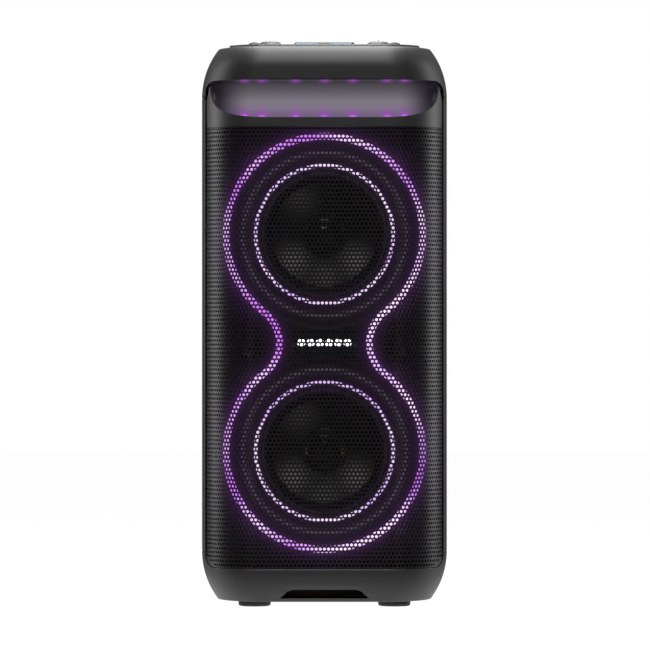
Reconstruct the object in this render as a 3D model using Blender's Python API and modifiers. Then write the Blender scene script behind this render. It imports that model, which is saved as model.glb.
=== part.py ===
"""Portable party speaker, modelled as an assembly of separate parts.

Metres, +Z up. The origin is on the floor under the middle of the cabinet, the front faces -Y
and the speaker's right-hand side, seen from the front, is +X.
"""
import math

import bmesh
import bpy
from mathutils import Vector

MM = 0.001
GAP = 0.3 * MM                      # between neighbouring parts
THROUGH = 30.0 * MM                 # how far a cutter runs past the part it cuts

# cabinet envelope
WIDTH = 296.4 * MM
DEPTH = 312.0 * MM
FOOT_HEIGHT = 6.8 * MM
SHELL_BOTTOM = 65.0 * MM
SHELL_TOP = 612.0 * MM
CAP_TOP = 671.4 * MM
WALL = 4.0 * MM
FLAT_HALF = 80.0 * MM               # flat middle of the front, seen from above
FRONT_BEND_DEPTH = 95.0 * MM        # how far back each front corner's bend runs
REAR_RADIUS = 45.0 * MM
SIDE_ARC = 97.0 * MM                # radius of the taper at top and bottom, seen from the front
FRONT_ARC_TOP = 30.0 * MM           # the same, seen from the side
FRONT_ARC_BOTTOM = 60.0 * MM

# front window
WINDOW_HALF = 143.5 * MM
WINDOW_BOTTOM = 46.5 * MM
WINDOW_TOP = 631.0 * MM
WINDOW_RADIUS = 13.0 * MM
GRILLE_INSET = 1.5 * MM             # grille face behind the cabinet's face
GRILLE_THICK = 1.5 * MM
TRIM_THICK = 3.0 * MM
TRIM_BOTTOM = 575.0 * MM

# carrying handle
LIP_HEIGHT = 586.7 * MM             # top edge of the trim, in the middle
LIP_FLAT = 65.0 * MM                # half width of the lip's straight run
LIP_END = 137.3 * MM
LIP_RISE = 40.0 * MM
LIP_POWER = 3.0
SCOOP_DEPTH = 60.0 * MM
SCOOP_WALL = 3.0 * MM
LAMP_BAR_HALF = 100.0 * MM
LIP_BAR_HALF = 70.0 * MM
LAMP_BAR_FRONT = -142.5 * MM
LAMP_BAR_BACK = -137.0 * MM

# loudspeakers
BAFFLE_Y = -118.0 * MM              # front face of the baffle
BAFFLE_THICK = 12.0 * MM
BAFFLE_HALF = 128.5 * MM
BAFFLE_BOTTOM = 50.0 * MM
BAFFLE_TOP = 572.0 * MM
MID_HEIGHT = 316.6 * MM
WOOFER_STEP = 130.0 * MM            # each woofer's height from the middle
TWEETER_X = 91.5 * MM
INNER_RING_RADIUS = 82.5 * MM
INNER_RING_BAND = 4.2 * MM
OUTER_RING_RADIUS = 118.0 * MM
OUTER_RING_BAND = 7.8 * MM
WAIST_HALF = 54.0 * MM
WOOFERS = [("upper", MID_HEIGHT + WOOFER_STEP), ("lower", MID_HEIGHT - WOOFER_STEP)]
TWEETERS = [("left", -TWEETER_X), ("right", TWEETER_X)]

# lamps in the middle
LAMP_COUNT = 6
LAMP_PITCH = 11.07 * MM
LAMP_RADIUS = 4.6 * MM

# controls on top
PANEL_TOP = 674.4 * MM
PANEL_HALF = 115.0 * MM
PANEL_FRONT = -136.5 * MM
PANEL_BACK = 5.0 * MM
KNOB_X = 65.0 * MM
KNOB_Y = -88.0 * MM
KNOB_RADIUS = 14.0 * MM
BUTTON_X = 84.0 * MM
BUTTON_Y = -113.0 * MM
BUTTON_RADIUS = 7.0 * MM
KEY_Y = -36.0 * MM
KEY_HALF = (11.0 * MM, 5.0 * MM)
BOARD_TOP = 657.0 * MM
KNOBS = [("volume", -KNOB_X), ("mic", KNOB_X)]
BUTTONS = [("power_button", -BUTTON_X), ("light_button", BUTTON_X)]
KEYS = [("previous_key", -48.0 * MM), ("play_key", -16.0 * MM), ("next_key", 16.0 * MM),
        ("bass_key", 48.0 * MM)]

# back
REAR_FACE = DEPTH / 2
REAR_WINDOW = (96.0 * MM, 88.0 * MM, 592.0 * MM)      # half width, bottom, top
PORT_HEIGHT = 470.0 * MM
IO_WINDOW = (62.0 * MM, 150.0 * MM, 222.0 * MM)
IO_HEIGHT = 186.0 * MM
IO_FACE = 143.4 * MM
# name, x, half size of the body, half size of its hollow, depth of the hollow
SOCKETS = [("usb_port", -38.0 * MM, (9.0 * MM, 5.5 * MM), (6.6 * MM, 2.9 * MM), 12.0 * MM),
           ("mic_jack", -10.0 * MM, (9.0 * MM, 9.0 * MM), (3.3 * MM, 3.3 * MM), 24.0 * MM),
           ("power_inlet", 32.0 * MM, (16.0 * MM, 12.0 * MM), (12.5 * MM, 8.5 * MM), 18.0 * MM)]


# ---------------------------------------------------------------- scene and materials

def clear_scene():
    for item in list(bpy.data.objects):
        bpy.data.objects.remove(item, do_unlink=True)


def new_collection(name):
    group = bpy.data.collections.new(name)
    bpy.context.scene.collection.children.link(group)
    return group


def finish_of(name, color, roughness, metallic=0.0):
    material = bpy.data.materials.new(name)
    material.use_nodes = True
    shader = material.node_tree.nodes["Principled BSDF"]
    shader.inputs["Base Color"].default_value = (*color, 1.0)
    shader.inputs["Roughness"].default_value = roughness
    shader.inputs["Metallic"].default_value = metallic
    return material


clear_scene()
PARTS = new_collection("party_speaker")
CUTTERS = new_collection("cutters")


def new_part(name, bm, color, roughness, metallic=0.0):
    mesh = bpy.data.meshes.new(name)
    bmesh.ops.recalc_face_normals(bm, faces=bm.faces)
    bm.to_mesh(mesh)
    bm.free()
    mesh.materials.append(finish_of(name, color, roughness, metallic))
    part = bpy.data.objects.new(name, mesh)
    PARTS.objects.link(part)
    return part


def new_cutter(name, bm):
    mesh = bpy.data.meshes.new(name)
    bmesh.ops.recalc_face_normals(bm, faces=bm.faces)
    bm.to_mesh(mesh)
    bm.free()
    cutter = bpy.data.objects.new(name, mesh)
    cutter.hide_render = True
    cutter.display_type = "WIRE"
    CUTTERS.objects.link(cutter)
    return cutter


def combine(part, other, operation):
    """Cut, keep or join with the exact Boolean solver; the other solid stays as a guide."""
    step = part.modifiers.new(operation.lower(), "BOOLEAN")
    step.object = other
    step.operation = operation
    step.solver = "EXACT"
    return part


def cut(part, *cutters):
    for cutter in cutters:
        combine(part, cutter, "DIFFERENCE")
    return part


# ---------------------------------------------------------------- solids

def block(low, high):
    """Box between two corners."""
    bm = bmesh.new()
    bmesh.ops.create_cube(bm, size=1.0)
    low, high = Vector(low), Vector(high)
    bmesh.ops.scale(bm, vec=high - low, verts=bm.verts)
    bmesh.ops.translate(bm, vec=(low + high) / 2, verts=bm.verts)
    return bm


def slab(outline, low, high, axis="Z"):
    """Flat outline pushed from low to high along Z, or along Y for an outline in X and Z."""
    bm = bmesh.new()
    if axis == "Z":
        corners = [(a, b, low) for a, b in outline]
        push = Vector((0, 0, high - low))
    else:
        corners = [(a, low, b) for a, b in outline]
        push = Vector((0, high - low, 0))
    face = bm.faces.new([bm.verts.new(corner) for corner in corners])
    grown = bmesh.ops.extrude_face_region(bm, geom=[face])
    moved = [item for item in grown["geom"] if isinstance(item, bmesh.types.BMVert)]
    bmesh.ops.translate(bm, vec=push, verts=moved)
    return bm


def loft(sections):
    """Closed skin over sections that all have the same number of points."""
    bm = bmesh.new()
    rings = [[bm.verts.new(point) for point in section] for section in sections]
    count = len(rings[0])
    for ring, following in zip(rings, rings[1:]):
        for i in range(count):
            j = (i + 1) % count
            bm.faces.new((ring[i], ring[j], following[j], following[i]))
    bm.faces.new(rings[0])
    bm.faces.new(rings[-1])
    return bm


TURNS = {"UP": (0, 0, 0), "FRONT": (math.pi / 2, 0, 0), "BACK": (-math.pi / 2, 0, 0)}


def turned(name, profile, place, color, roughness, metallic=0.0, facing="UP", steps=40, cutter=False):
    """Closed profile of (radius, height) turned about its axis, which then points up, front or back.

    The profile runs down its outer side. A profile that starts and ends on the axis is a solid.
    """
    mesh = bpy.data.meshes.new(name)
    bm = bmesh.new()
    corners = [bm.verts.new((radius, 0, height)) for radius, height in profile]
    on_axis = profile[0][0] == 0 and profile[-1][0] == 0
    for first, second in zip(corners, corners[1:]):
        bm.edges.new((first, second))
    if not on_axis:
        bm.edges.new((corners[-1], corners[0]))
    bm.to_mesh(mesh)
    bm.free()
    part = bpy.data.objects.new(name, mesh)
    part.location = place
    part.rotation_euler = TURNS[facing]
    screw = part.modifiers.new("turn", "SCREW")
    screw.steps = steps
    screw.render_steps = steps
    screw.use_merge_vertices = True
    screw.merge_threshold = 0.00001
    if cutter:
        part.hide_render = True
        part.display_type = "WIRE"
        CUTTERS.objects.link(part)
    else:
        mesh.materials.append(finish_of(name, color, roughness, metallic))
        PARTS.objects.link(part)
    return part


def turned_cutter(name, profile, place, facing="UP", steps=40):
    return turned(name, profile, place, (0, 0, 0), 1.0, facing=facing, steps=steps, cutter=True)


def disc(radius, low, high):
    """Profile of a plain solid cylinder."""
    return [(0, high), (radius, high), (radius, low), (0, low)]


def bevelled(part, width, segments=2):
    bevel = part.modifiers.new("bevel", "BEVEL")
    bevel.width = width
    bevel.segments = segments
    bevel.limit_method = "ANGLE"
    bevel.angle_limit = math.radians(40)
    return part


# ---------------------------------------------------------------- outlines

def plan_outline(inset, bend_steps=8, rear_steps=3):
    """Cabinet seen from above, moved inwards by inset, as (x, y) points anticlockwise."""
    side = WIDTH / 2 - inset
    front = -DEPTH / 2 + inset
    bend_x = side - FLAT_HALF
    bend_y = FRONT_BEND_DEPTH - inset
    radius = REAR_RADIUS - inset
    right = []
    for i in range(bend_steps + 1):
        angle = math.pi / 2 * i / bend_steps
        right.append((FLAT_HALF + bend_x * math.sin(angle), front + bend_y * (1 - math.cos(angle))))
    for i in range(rear_steps + 1):
        angle = math.pi / 2 * i / rear_steps
        x = side - radius + radius * math.cos(angle)
        y = -front - radius + radius * math.sin(angle)
        right.append((x, y))
    left = [(-x, y) for x, y in reversed(right)]
    return right + left


def front_line(inset, half, steps=12):
    """Front face seen from above, from -half to +half."""
    side = WIDTH / 2 - inset
    front = -DEPTH / 2 + inset
    bend_x = side - FLAT_HALF
    bend_y = FRONT_BEND_DEPTH - inset
    last = math.asin((half - FLAT_HALF) / bend_x)
    right = []
    for i in range(steps + 1):
        angle = last * i / steps
        right.append((FLAT_HALF + bend_x * math.sin(angle), front + bend_y * (1 - math.cos(angle))))
    return [(-x, y) for x, y in reversed(right)] + right


def arc_inset(height, low, high, low_radius, high_radius):
    """How far a side has moved in at this height: none between low and high, an arc beyond."""
    if height > high:
        return high_radius - math.sqrt(high_radius ** 2 - (height - high) ** 2)
    if height < low:
        return low_radius - math.sqrt(low_radius ** 2 - (low - height) ** 2)
    return 0.0


def section_at(height, inset):
    """Cabinet outline at one height, drawn in by the front and side tapers."""
    across = arc_inset(height, SHELL_BOTTOM, SHELL_TOP, SIDE_ARC, SIDE_ARC)
    along = arc_inset(height, 44 * MM, 646 * MM, FRONT_ARC_BOTTOM, FRONT_ARC_TOP)
    x_scale = 1 - across / (WIDTH / 2)
    y_scale = 1 - along / (DEPTH / 2)
    return [(x * x_scale, y * y_scale, height) for x, y in plan_outline(inset)]


def rounded_rectangle(half, low, high, radius, steps=6):
    """(x, z) outline of an upright rectangle with round corners."""
    points = []
    corners = [(half - radius, low + radius, -90), (half - radius, high - radius, 0),
               (radius - half, high - radius, 90), (radius - half, low + radius, 180)]
    for x, z, start in corners:
        for i in range(steps + 1):
            angle = math.radians(start + 90 * i / steps)
            points.append((x + radius * math.cos(angle), z + radius * math.sin(angle)))
    return points


def plan_rectangle(half, front, back, radius, steps=4):
    """(x, y) outline of a flat rectangle with round corners."""
    return rounded_rectangle(half, front, back, radius, steps)


def lip_height(x):
    """Height of the handle's lower edge at x: flat in the middle, rising steeply at the ends."""
    run = min(max((abs(x) - LIP_FLAT) / (LIP_END - LIP_FLAT), 0.0), 1.0)
    return LIP_HEIGHT + LIP_RISE * (1 - (1 - run ** LIP_POWER) ** (1 / LIP_POWER))


def figure_eight(radius, waist, end_steps=24, waist_steps=8):
    """(x, z) outline of two circles joined by a rounded waist, about the cabinet's middle."""
    fillet = (radius ** 2 - waist ** 2 - WOOFER_STEP ** 2) / (2 * (waist - radius))
    middle_x = waist + fillet
    tangent = math.atan2(-WOOFER_STEP, middle_x)          # from the upper centre to the fillet's
    points = []
    for i in range(end_steps + 1):
        angle = tangent + (math.pi - 2 * tangent) * i / end_steps
        points.append((radius * math.cos(angle), WOOFER_STEP + radius * math.sin(angle)))
    start = -tangent
    for i in range(1, waist_steps):
        angle = start - 2 * start * i / waist_steps
        points.append((-middle_x + fillet * math.cos(angle), fillet * math.sin(angle)))
    lower = [(-x, -z) for x, z in points]
    return [(x, z + MID_HEIGHT) for x, z in points + lower]


# ---------------------------------------------------------------- finishes

CHARCOAL = (0.035, 0.036, 0.038)
BLACK = (0.012, 0.012, 0.014)
GREY = (0.09, 0.09, 0.095)
STEEL = (0.45, 0.45, 0.47)
BOARD_GREEN = (0.02, 0.12, 0.06)
LIGHT_VIOLET = (0.78, 0.45, 1.0)
WHITE = (1.0, 1.0, 1.0)
BLUE_BLACK = (0.01, 0.03, 0.035)
PALE_BLUE = (0.3, 0.5, 0.6)
AMBER = (0.3, 0.2, 0.08)
COPPER = (0.4, 0.2, 0.08)
WRAP_BLUE = (0.05, 0.1, 0.3)


# ---------------------------------------------------------------- casings

WINDOW_RUN = (-200 * MM, -20 * MM)    # Y where cutters for the front window start and end
WINDOW_CUTTER = new_cutter("window_cutter", slab(
    rounded_rectangle(WINDOW_HALF, WINDOW_BOTTOM, WINDOW_TOP, WINDOW_RADIUS), *WINDOW_RUN, "Y"))


def cabinet_shell():
    outer = slab(plan_outline(0), SHELL_BOTTOM + GAP / 2, SHELL_TOP - GAP / 2)
    shell = new_part("cabinet_shell", outer, CHARCOAL, 0.45)
    hollow = new_cutter("shell_hollow", slab(plan_outline(WALL), SHELL_BOTTOM - WALL, SHELL_TOP + WALL))
    half, low, high = REAR_WINDOW
    opening = slab(rounded_rectangle(half, low, high, 10 * MM), REAR_FACE - THROUGH, REAR_FACE + THROUGH, "Y")
    return cut(shell, hollow, WINDOW_CUTTER, new_cutter("rear_window", opening))


def heights_between(low, high, count):
    return [low + (high - low) * i / count for i in range(count + 1)]


def top_cap():
    crown = [SHELL_TOP + GAP / 2] + heights_between(626 * MM, CAP_TOP - 1.2 * MM, 7)
    sections = [section_at(height, 0) for height in crown]
    sections.append([(x * 0.992, y * 0.992, CAP_TOP) for x, y, _ in sections[-1]])
    cap = new_part("top_cap", loft(sections), CHARCOAL, 0.4)
    room = [SHELL_TOP - WALL] + heights_between(626 * MM, CAP_TOP - WALL, 5)
    hollow = new_cutter("cap_hollow", loft([section_at(height, WALL) for height in room]))
    opening = new_cutter("panel_opening", slab(
        plan_rectangle(PANEL_HALF - 8 * MM, PANEL_FRONT + 10 * MM, PANEL_BACK - 8 * MM, 8 * MM),
        CAP_TOP - 12 * MM, CAP_TOP + 5 * MM))
    return cut(cap, hollow, WINDOW_CUTTER, opening)


def base_plinth():
    skirt = heights_between(FOOT_HEIGHT + 1.0 * MM, SHELL_BOTTOM - GAP / 2, 8)
    sections = [section_at(height, 0) for height in skirt]
    sections.insert(0, [(x * 0.993, y * 0.993, FOOT_HEIGHT) for x, y, _ in sections[0]])
    plinth = new_part("base_plinth", loft(sections), CHARCOAL, 0.45)
    room = heights_between(FOOT_HEIGHT + WALL, SHELL_BOTTOM + WALL, 5)
    hollow = new_cutter("plinth_hollow", loft([section_at(height, WALL) for height in room]))
    grip = new_cutter("grip_opening", slab(grip_outline(0), -200 * MM, -120 * MM, "Y"))
    return cut(plinth, hollow, WINDOW_CUTTER, grip)


def grip_outline(grow):
    """Hand hollow in the base's lower front edge, wider at the bottom."""
    top, bottom = 27.0 * MM + grow, 11.3 * MM - grow
    return [(-53 * MM - grow, bottom), (53 * MM + grow, bottom), (51 * MM + grow, 14 * MM),
            (45 * MM + grow, top - 3 * MM), (40 * MM + grow, top), (-40 * MM - grow, top),
            (-45 * MM - grow, top - 3 * MM), (-51 * MM - grow, 14 * MM)]


def base_grip_pocket():
    """Tray behind the hand hollow, open to the front."""
    wall = 1.8 * MM
    low, high = 11.2 * MM, 32.0 * MM
    front, back = -160.0 * MM, -116.0 * MM
    pocket = new_part("base_grip_pocket", block((-58 * MM, front, low), (58 * MM, back, high)), BLACK, 0.6)
    room = new_cutter("pocket_room", block((-58 * MM + wall, front - 0.01, low + wall),
                                           (58 * MM - wall, back - wall, high - wall)))
    cut(pocket, room)
    limit = new_cutter("pocket_limit", loft([
        section_at(height, WALL + 1 * MM) for height in heights_between(low - GAP, high + WALL, 5)]))
    return combine(pocket, limit, "INTERSECT")


def rear_panel():
    half, low, high = REAR_WINDOW
    inner_face = REAR_FACE - WALL - GAP
    bm = slab(rounded_rectangle(half + 5 * MM, low - 6 * MM, high + 6 * MM, 8 * MM),
              inner_face - 4 * MM, inner_face, "Y")
    panel = new_part("rear_panel", bm, BLACK, 0.55)
    port_hole = disc(36.3 * MM, -THROUGH, THROUGH)
    port = turned_cutter("port_opening", port_hole, (0, inner_face, PORT_HEIGHT), "BACK")
    io_half, io_low, io_high = IO_WINDOW
    io_hole = slab(rounded_rectangle(io_half, io_low, io_high, 5 * MM),
                   REAR_FACE - THROUGH, REAR_FACE + THROUGH, "Y")
    return cut(panel, port, new_cutter("io_opening", io_hole))


def feet():
    radius, bottom_round = 19.4 * MM, 2.5 * MM
    high = FOOT_HEIGHT - GAP
    profile = [(0, high), (radius, high), (radius, bottom_round)]
    profile += [(radius - bottom_round * 0.3, bottom_round * 0.3), (radius - bottom_round, 0), (0, 0)]
    for depth_name, y in (("front", -100 * MM), ("rear", 100 * MM)):
        for side_name, x in (("left", -84 * MM), ("right", 84 * MM)):
            turned(f"foot_{depth_name}_{side_name}", profile, (x, y, 0), BLACK, 0.8, steps=20)


# ---------------------------------------------------------------- front

def curved_plate(inset, thickness, half, low, high):
    """Upright plate that follows the bent front."""
    outside = front_line(inset, half)
    inside = front_line(inset + thickness, half)
    return slab(outside + inside[::-1], low, high)


def front_grille():
    half = WINDOW_HALF - 0.6 * MM
    low, high = WINDOW_BOTTOM + 0.6 * MM, TRIM_BOTTOM - GAP
    sheet = curved_plate(GRILLE_INSET, GRILLE_THICK, half, low, high)
    grille = new_part("front_grille", sheet, BLACK, 0.4, 0.6)
    outline = rounded_rectangle(half + 0.01 * MM, low, high + 40 * MM, WINDOW_RADIUS)
    shape = new_cutter("grille_shape", slab(outline, *WINDOW_RUN, "Y"))
    return combine(grille, shape, "INTERSECT")


def trim_outline():
    """Strip over the grille and the horn up each side of the handle, as (x, z)."""
    half = WINDOW_HALF - 1.0 * MM
    steps = 12
    lip = []
    for i in range(steps + 1):
        angle = math.pi / 2 * i / steps
        x = LIP_FLAT + (LIP_END - 0.3 * MM - LIP_FLAT) * math.sin(angle)
        lip.append((x, lip_height(x)))
    lip[-1] = (LIP_END, LIP_HEIGHT + LIP_RISE - 2.0 * MM)
    horn = [(LIP_END + 2.6 * MM, 618 * MM), (half - 0.8 * MM, 607 * MM), (half, 596 * MM)]
    right = [(half, TRIM_BOTTOM)] + horn[::-1] + lip[::-1]
    left = [(-x, z) for x, z in reversed(right)]
    return right + left


def front_trim():
    half = WINDOW_HALF - 1.0 * MM
    plate = curved_plate(GRILLE_INSET, TRIM_THICK, half, TRIM_BOTTOM - 10 * MM, 640 * MM)
    trim = new_part("front_trim", plate, CHARCOAL, 0.45)
    shape = new_cutter("trim_shape", slab(trim_outline(), *WINDOW_RUN, "Y"))
    return combine(trim, shape, "INTERSECT")


def scoop_sections(grow):
    """Bowl of the handle: sections across X, each a rounded hollow under a level ceiling."""
    end = LIP_END - 1.5 * MM + grow
    ceiling = WINDOW_TOP + grow
    stations = 16
    arc_steps = 7
    sections = []
    for i in range(stations + 1):
        share = math.sin(math.pi / 2 * (2 * i / stations - 1))
        x = end * share
        low = lip_height(x) - grow
        reach = (SCOOP_DEPTH + grow) * max(1 - abs(share) ** 6, 0.0) ** 0.5 + 6 * MM
        front = -DEPTH / 2 + GRILLE_INSET
        rise = ceiling - low
        section = [(x, -0.2, ceiling), (x, -0.2, low), (x, front, low)]
        for j in range(1, arc_steps + 1):
            angle = math.pi / 2 * j / arc_steps
            y = front + reach * math.sin(angle) ** 0.8
            z = low + rise * 0.72 * (1 - math.cos(angle))
            section.append((x, y, z))
        section.append((x, front + reach, ceiling))
        sections.append(section)
    return sections


def handle_scoop():
    scoop = new_part("handle_scoop", loft(scoop_sections(SCOOP_WALL)), GREY, 0.35)
    hollow = new_cutter("scoop_room", loft(scoop_sections(0)))
    behind_trim = GRILLE_INSET + TRIM_THICK + GAP
    levels = [560 * MM] + heights_between(SHELL_TOP, 640 * MM, 4)
    inside = new_cutter("scoop_limit", loft([section_at(height, behind_trim) for height in levels]))
    cut(scoop, hollow)
    combine(scoop, inside, "INTERSECT")
    for name, low, high in lamp_bar_boxes():
        low = [value - GAP for value in low]
        high = [value + GAP for value in high]
        cut(scoop, new_cutter(name + "_slot", block(low, high)))
    return scoop


def lamp_bar_boxes():
    """Light strips of the handle: one in the ceiling behind the cap's edge, one behind the lip."""
    upper = ((-LAMP_BAR_HALF, LAMP_BAR_FRONT, WINDOW_TOP - 0.2 * MM),
             (LAMP_BAR_HALF, LAMP_BAR_BACK, WINDOW_TOP + 5 * MM))
    lower = ((-LIP_BAR_HALF, LAMP_BAR_FRONT, LIP_HEIGHT - 5 * MM),
             (LIP_BAR_HALF, LAMP_BAR_BACK, LIP_HEIGHT + 0.2 * MM))
    return [("handle_light_upper", *upper), ("handle_light_lower", *lower)]


def handle_lights():
    for name, low, high in lamp_bar_boxes():
        new_part(name, block(low, high), LIGHT_VIOLET, 0.3)


def front_baffle():
    outline = rounded_rectangle(BAFFLE_HALF, BAFFLE_BOTTOM, BAFFLE_TOP, 12 * MM)
    baffle = new_part("front_baffle", slab(outline, BAFFLE_Y, BAFFLE_Y + BAFFLE_THICK, "Y"), BLACK, 0.6)
    woofer_hole = disc(77.5 * MM, -THROUGH, THROUGH)
    for name, height in WOOFERS:
        place = (0, BAFFLE_Y, height)
        cut(baffle, turned_cutter(f"woofer_hole_{name}", woofer_hole, place, "FRONT", 24))
    tweeter_hole = disc(17.5 * MM, -THROUGH, THROUGH)
    for name, x in TWEETERS:
        place = (x, BAFFLE_Y, MID_HEIGHT)
        cut(baffle, turned_cutter(f"tweeter_hole_{name}", tweeter_hole, place, "FRONT", 24))
    return baffle


def outer_light_guide():
    half_band = OUTER_RING_BAND / 2
    front, back = BAFFLE_Y - 8 * MM, BAFFLE_Y - GAP
    outside = figure_eight(OUTER_RING_RADIUS + half_band, WAIST_HALF + half_band)
    inside = figure_eight(OUTER_RING_RADIUS - half_band, WAIST_HALF - half_band)
    guide = new_part("outer_light_guide", slab(outside, front, back, "Y"), LIGHT_VIOLET, 0.3)
    return cut(guide, new_cutter("guide_inside", slab(inside, front - THROUGH, back + THROUGH, "Y")))


def inner_light_rings():
    inner = INNER_RING_RADIUS - INNER_RING_BAND / 2
    outer = INNER_RING_RADIUS + INNER_RING_BAND / 2
    front, back = 8 * MM, 3.3 * MM + GAP
    profile = [(inner, front), (outer, front), (outer, back), (inner, back)]
    for name, height in WOOFERS:
        place = (0, BAFFLE_Y, height)
        turned(f"inner_light_ring_{name}", profile, place, LIGHT_VIOLET, 0.3, facing="FRONT", steps=32)


def indicator():
    """Dark window over a light pipe whose round ends come through it."""
    window = rounded_rectangle(38.5 * MM, MID_HEIGHT - 16 * MM, MID_HEIGHT + 16 * MM, 5 * MM, 4)
    plate = new_part("indicator_window", slab(window, BAFFLE_Y - 5 * MM, BAFFLE_Y - GAP, "Y"), BLUE_BLACK, 0.2)
    run = LAMP_PITCH * (LAMP_COUNT - 1) / 2
    half, half_high = run + LAMP_RADIUS + 1 * MM, 3 * MM
    front, back = BAFFLE_Y - 2.7 * MM, BAFFLE_Y - 1.2 * MM
    bar = block((-half, front, MID_HEIGHT - half_high), (half, back, MID_HEIGHT + half_high))
    pipe = new_part("indicator_light_pipe", bar, WHITE, 0.3)
    half, half_high = half + GAP, half_high + GAP
    room = block((-half, front - GAP, MID_HEIGHT - half_high),
                 (half, BAFFLE_Y + THROUGH, MID_HEIGHT + half_high))
    cut(plate, new_cutter("pipe_room", room))
    lamp_profile = disc(LAMP_RADIUS, 2.0 * MM, 6.5 * MM)
    hole_profile = disc(LAMP_RADIUS + GAP, 1.5 * MM, 8 * MM)
    for i in range(LAMP_COUNT):
        place = (i * LAMP_PITCH - run, BAFFLE_Y, MID_HEIGHT)
        combine(pipe, turned_cutter(f"lamp_{i}", lamp_profile, place, "FRONT", 12), "UNION")
        cut(plate, turned_cutter(f"lamp_hole_{i}", hole_profile, place, "FRONT", 12))


# ---------------------------------------------------------------- loudspeakers

def in_metres(points):
    """Profile given in millimetres."""
    return [(radius * MM, forward * MM) for radius, forward in points]


def half_roll(reach, rise, degrees):
    """Points over the rubber edge's roll, in millimetres."""
    turns = [math.radians(angle) for angle in degrees]
    return [(70.0 - reach * math.cos(turn), 1.2 + rise * math.sin(turn)) for turn in turns]


# (radius, forward of the baffle's face), in millimetres
BASKET = [(76.0, 3.3), (86.0, 3.3), (86.0, 0.3), (77.0, 0.3), (52, -48), (52, -60), (20, -60),
          (20, -58), (48, -58), (48, -48), (73.2, 0.6), (76.0, 0.6)]
MAGNET = [(0, -62.4), (11.6, -62.4), (11.6, -82), (14.9, -82), (14.9, -62.4), (50, -62.4),
          (50, -86), (0, -86)]
SPIDER = [(14.6, -41.4), (45.2, -45.8), (45.2, -46.8), (14.6, -42.4)]
VOICE_COIL = [(13.2, -33.5), (14.2, -33.5), (14.2, -74), (13.2, -74)]
SURROUND = half_roll(5.4, 6.0, range(0, 181, 45)) + half_roll(4.2, 4.6, range(135, 44, -45))
CONE = [(14.6, -30.5), (30, -20.5), (64.2, 0.6), (64.2, -0.8), (30, -22.0), (14.6, -32.5)]
DUST_CAP = [(0, -10.0), (8, -11.2), (14.5, -16.4), (18, -20.6), (27.2, -19.9), (27.2, -21.2),
            (17, -22.0), (9, -13.6), (0, -11.2)]
TWEETER_BODY = [(10.4, 0.6), (19.0, 4.0), (21.6, 4.0), (21.6, 0.3), (17.2, 0.3), (17.2, -22),
                (0, -22), (0, -3.0), (9.0, -3.0), (10.0, -1.0)]
TWEETER_DOME = [(0, 1.6), (3.0, 1.2), (6.0, 0.1), (8.2, -1.4), (8.2, -2.6), (0, -2.6)]


def woofer(name, height):
    """One bass driver, from its basket to its dust cap."""
    place = (0, BAFFLE_Y, height)

    def ring(part, points, color, roughness, metallic=0.0):
        title = f"woofer_{part}_{name}"
        return turned(title, in_metres(points), place, color, roughness, metallic, "FRONT", 24)

    ring("basket", BASKET, GREY, 0.5, 0.8)
    ring("magnet", MAGNET, STEEL, 0.4, 0.9)
    ring("spider", SPIDER, AMBER, 0.9)
    ring("voice_coil", VOICE_COIL, COPPER, 0.5, 0.6)
    ring("surround", SURROUND, BLACK, 0.7)
    ring("cone", CONE, BLACK, 0.5)
    ring("dust_cap", DUST_CAP, BLACK, 0.3)


def tweeter(name, x):
    place = (x, BAFFLE_Y, MID_HEIGHT)
    body, dome = in_metres(TWEETER_BODY), in_metres(TWEETER_DOME)
    turned(f"tweeter_body_{name}", body, place, BLACK, 0.45, facing="FRONT", steps=24)
    turned(f"tweeter_dome_{name}", dome, place, GREY, 0.3, facing="FRONT", steps=24)


# ---------------------------------------------------------------- controls on top

def key_outline(x, grow, radius):
    half_x, half_y = KEY_HALF[0] + grow, KEY_HALF[1] + grow
    outline = plan_rectangle(half_x, KEY_Y - half_y, KEY_Y + half_y, radius)
    return [(across + x, along) for across, along in outline]


def control_panel():
    low = CAP_TOP + GAP
    plate = slab(plan_rectangle(PANEL_HALF, PANEL_FRONT, PANEL_BACK, 12 * MM), low, PANEL_TOP)
    panel = new_part("control_panel", plate, CHARCOAL, 0.4)
    edge = [(x, y) for x, y, _ in section_at(CAP_TOP, 5 * MM)]
    limit = new_cutter("panel_limit", slab(edge, low - THROUGH, PANEL_TOP + THROUGH))
    combine(panel, limit, "INTERSECT")
    shaft_hole = disc(4.6 * MM, -THROUGH, THROUGH)
    for name, x in KNOBS:
        cut(panel, turned_cutter(f"{name}_hole", shaft_hole, (x, KNOB_Y, PANEL_TOP), steps=16))
    button_hole = disc(BUTTON_RADIUS + GAP, -THROUGH, THROUGH)
    for name, x in BUTTONS:
        cut(panel, turned_cutter(f"{name}_hole", button_hole, (x, BUTTON_Y, PANEL_TOP), steps=20))
    for name, x in KEYS:
        outline = key_outline(x, GAP, 3 * MM)
        cut(panel, new_cutter(f"{name}_hole", slab(outline, PANEL_TOP - THROUGH, PANEL_TOP + THROUGH)))
    return panel


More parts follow.
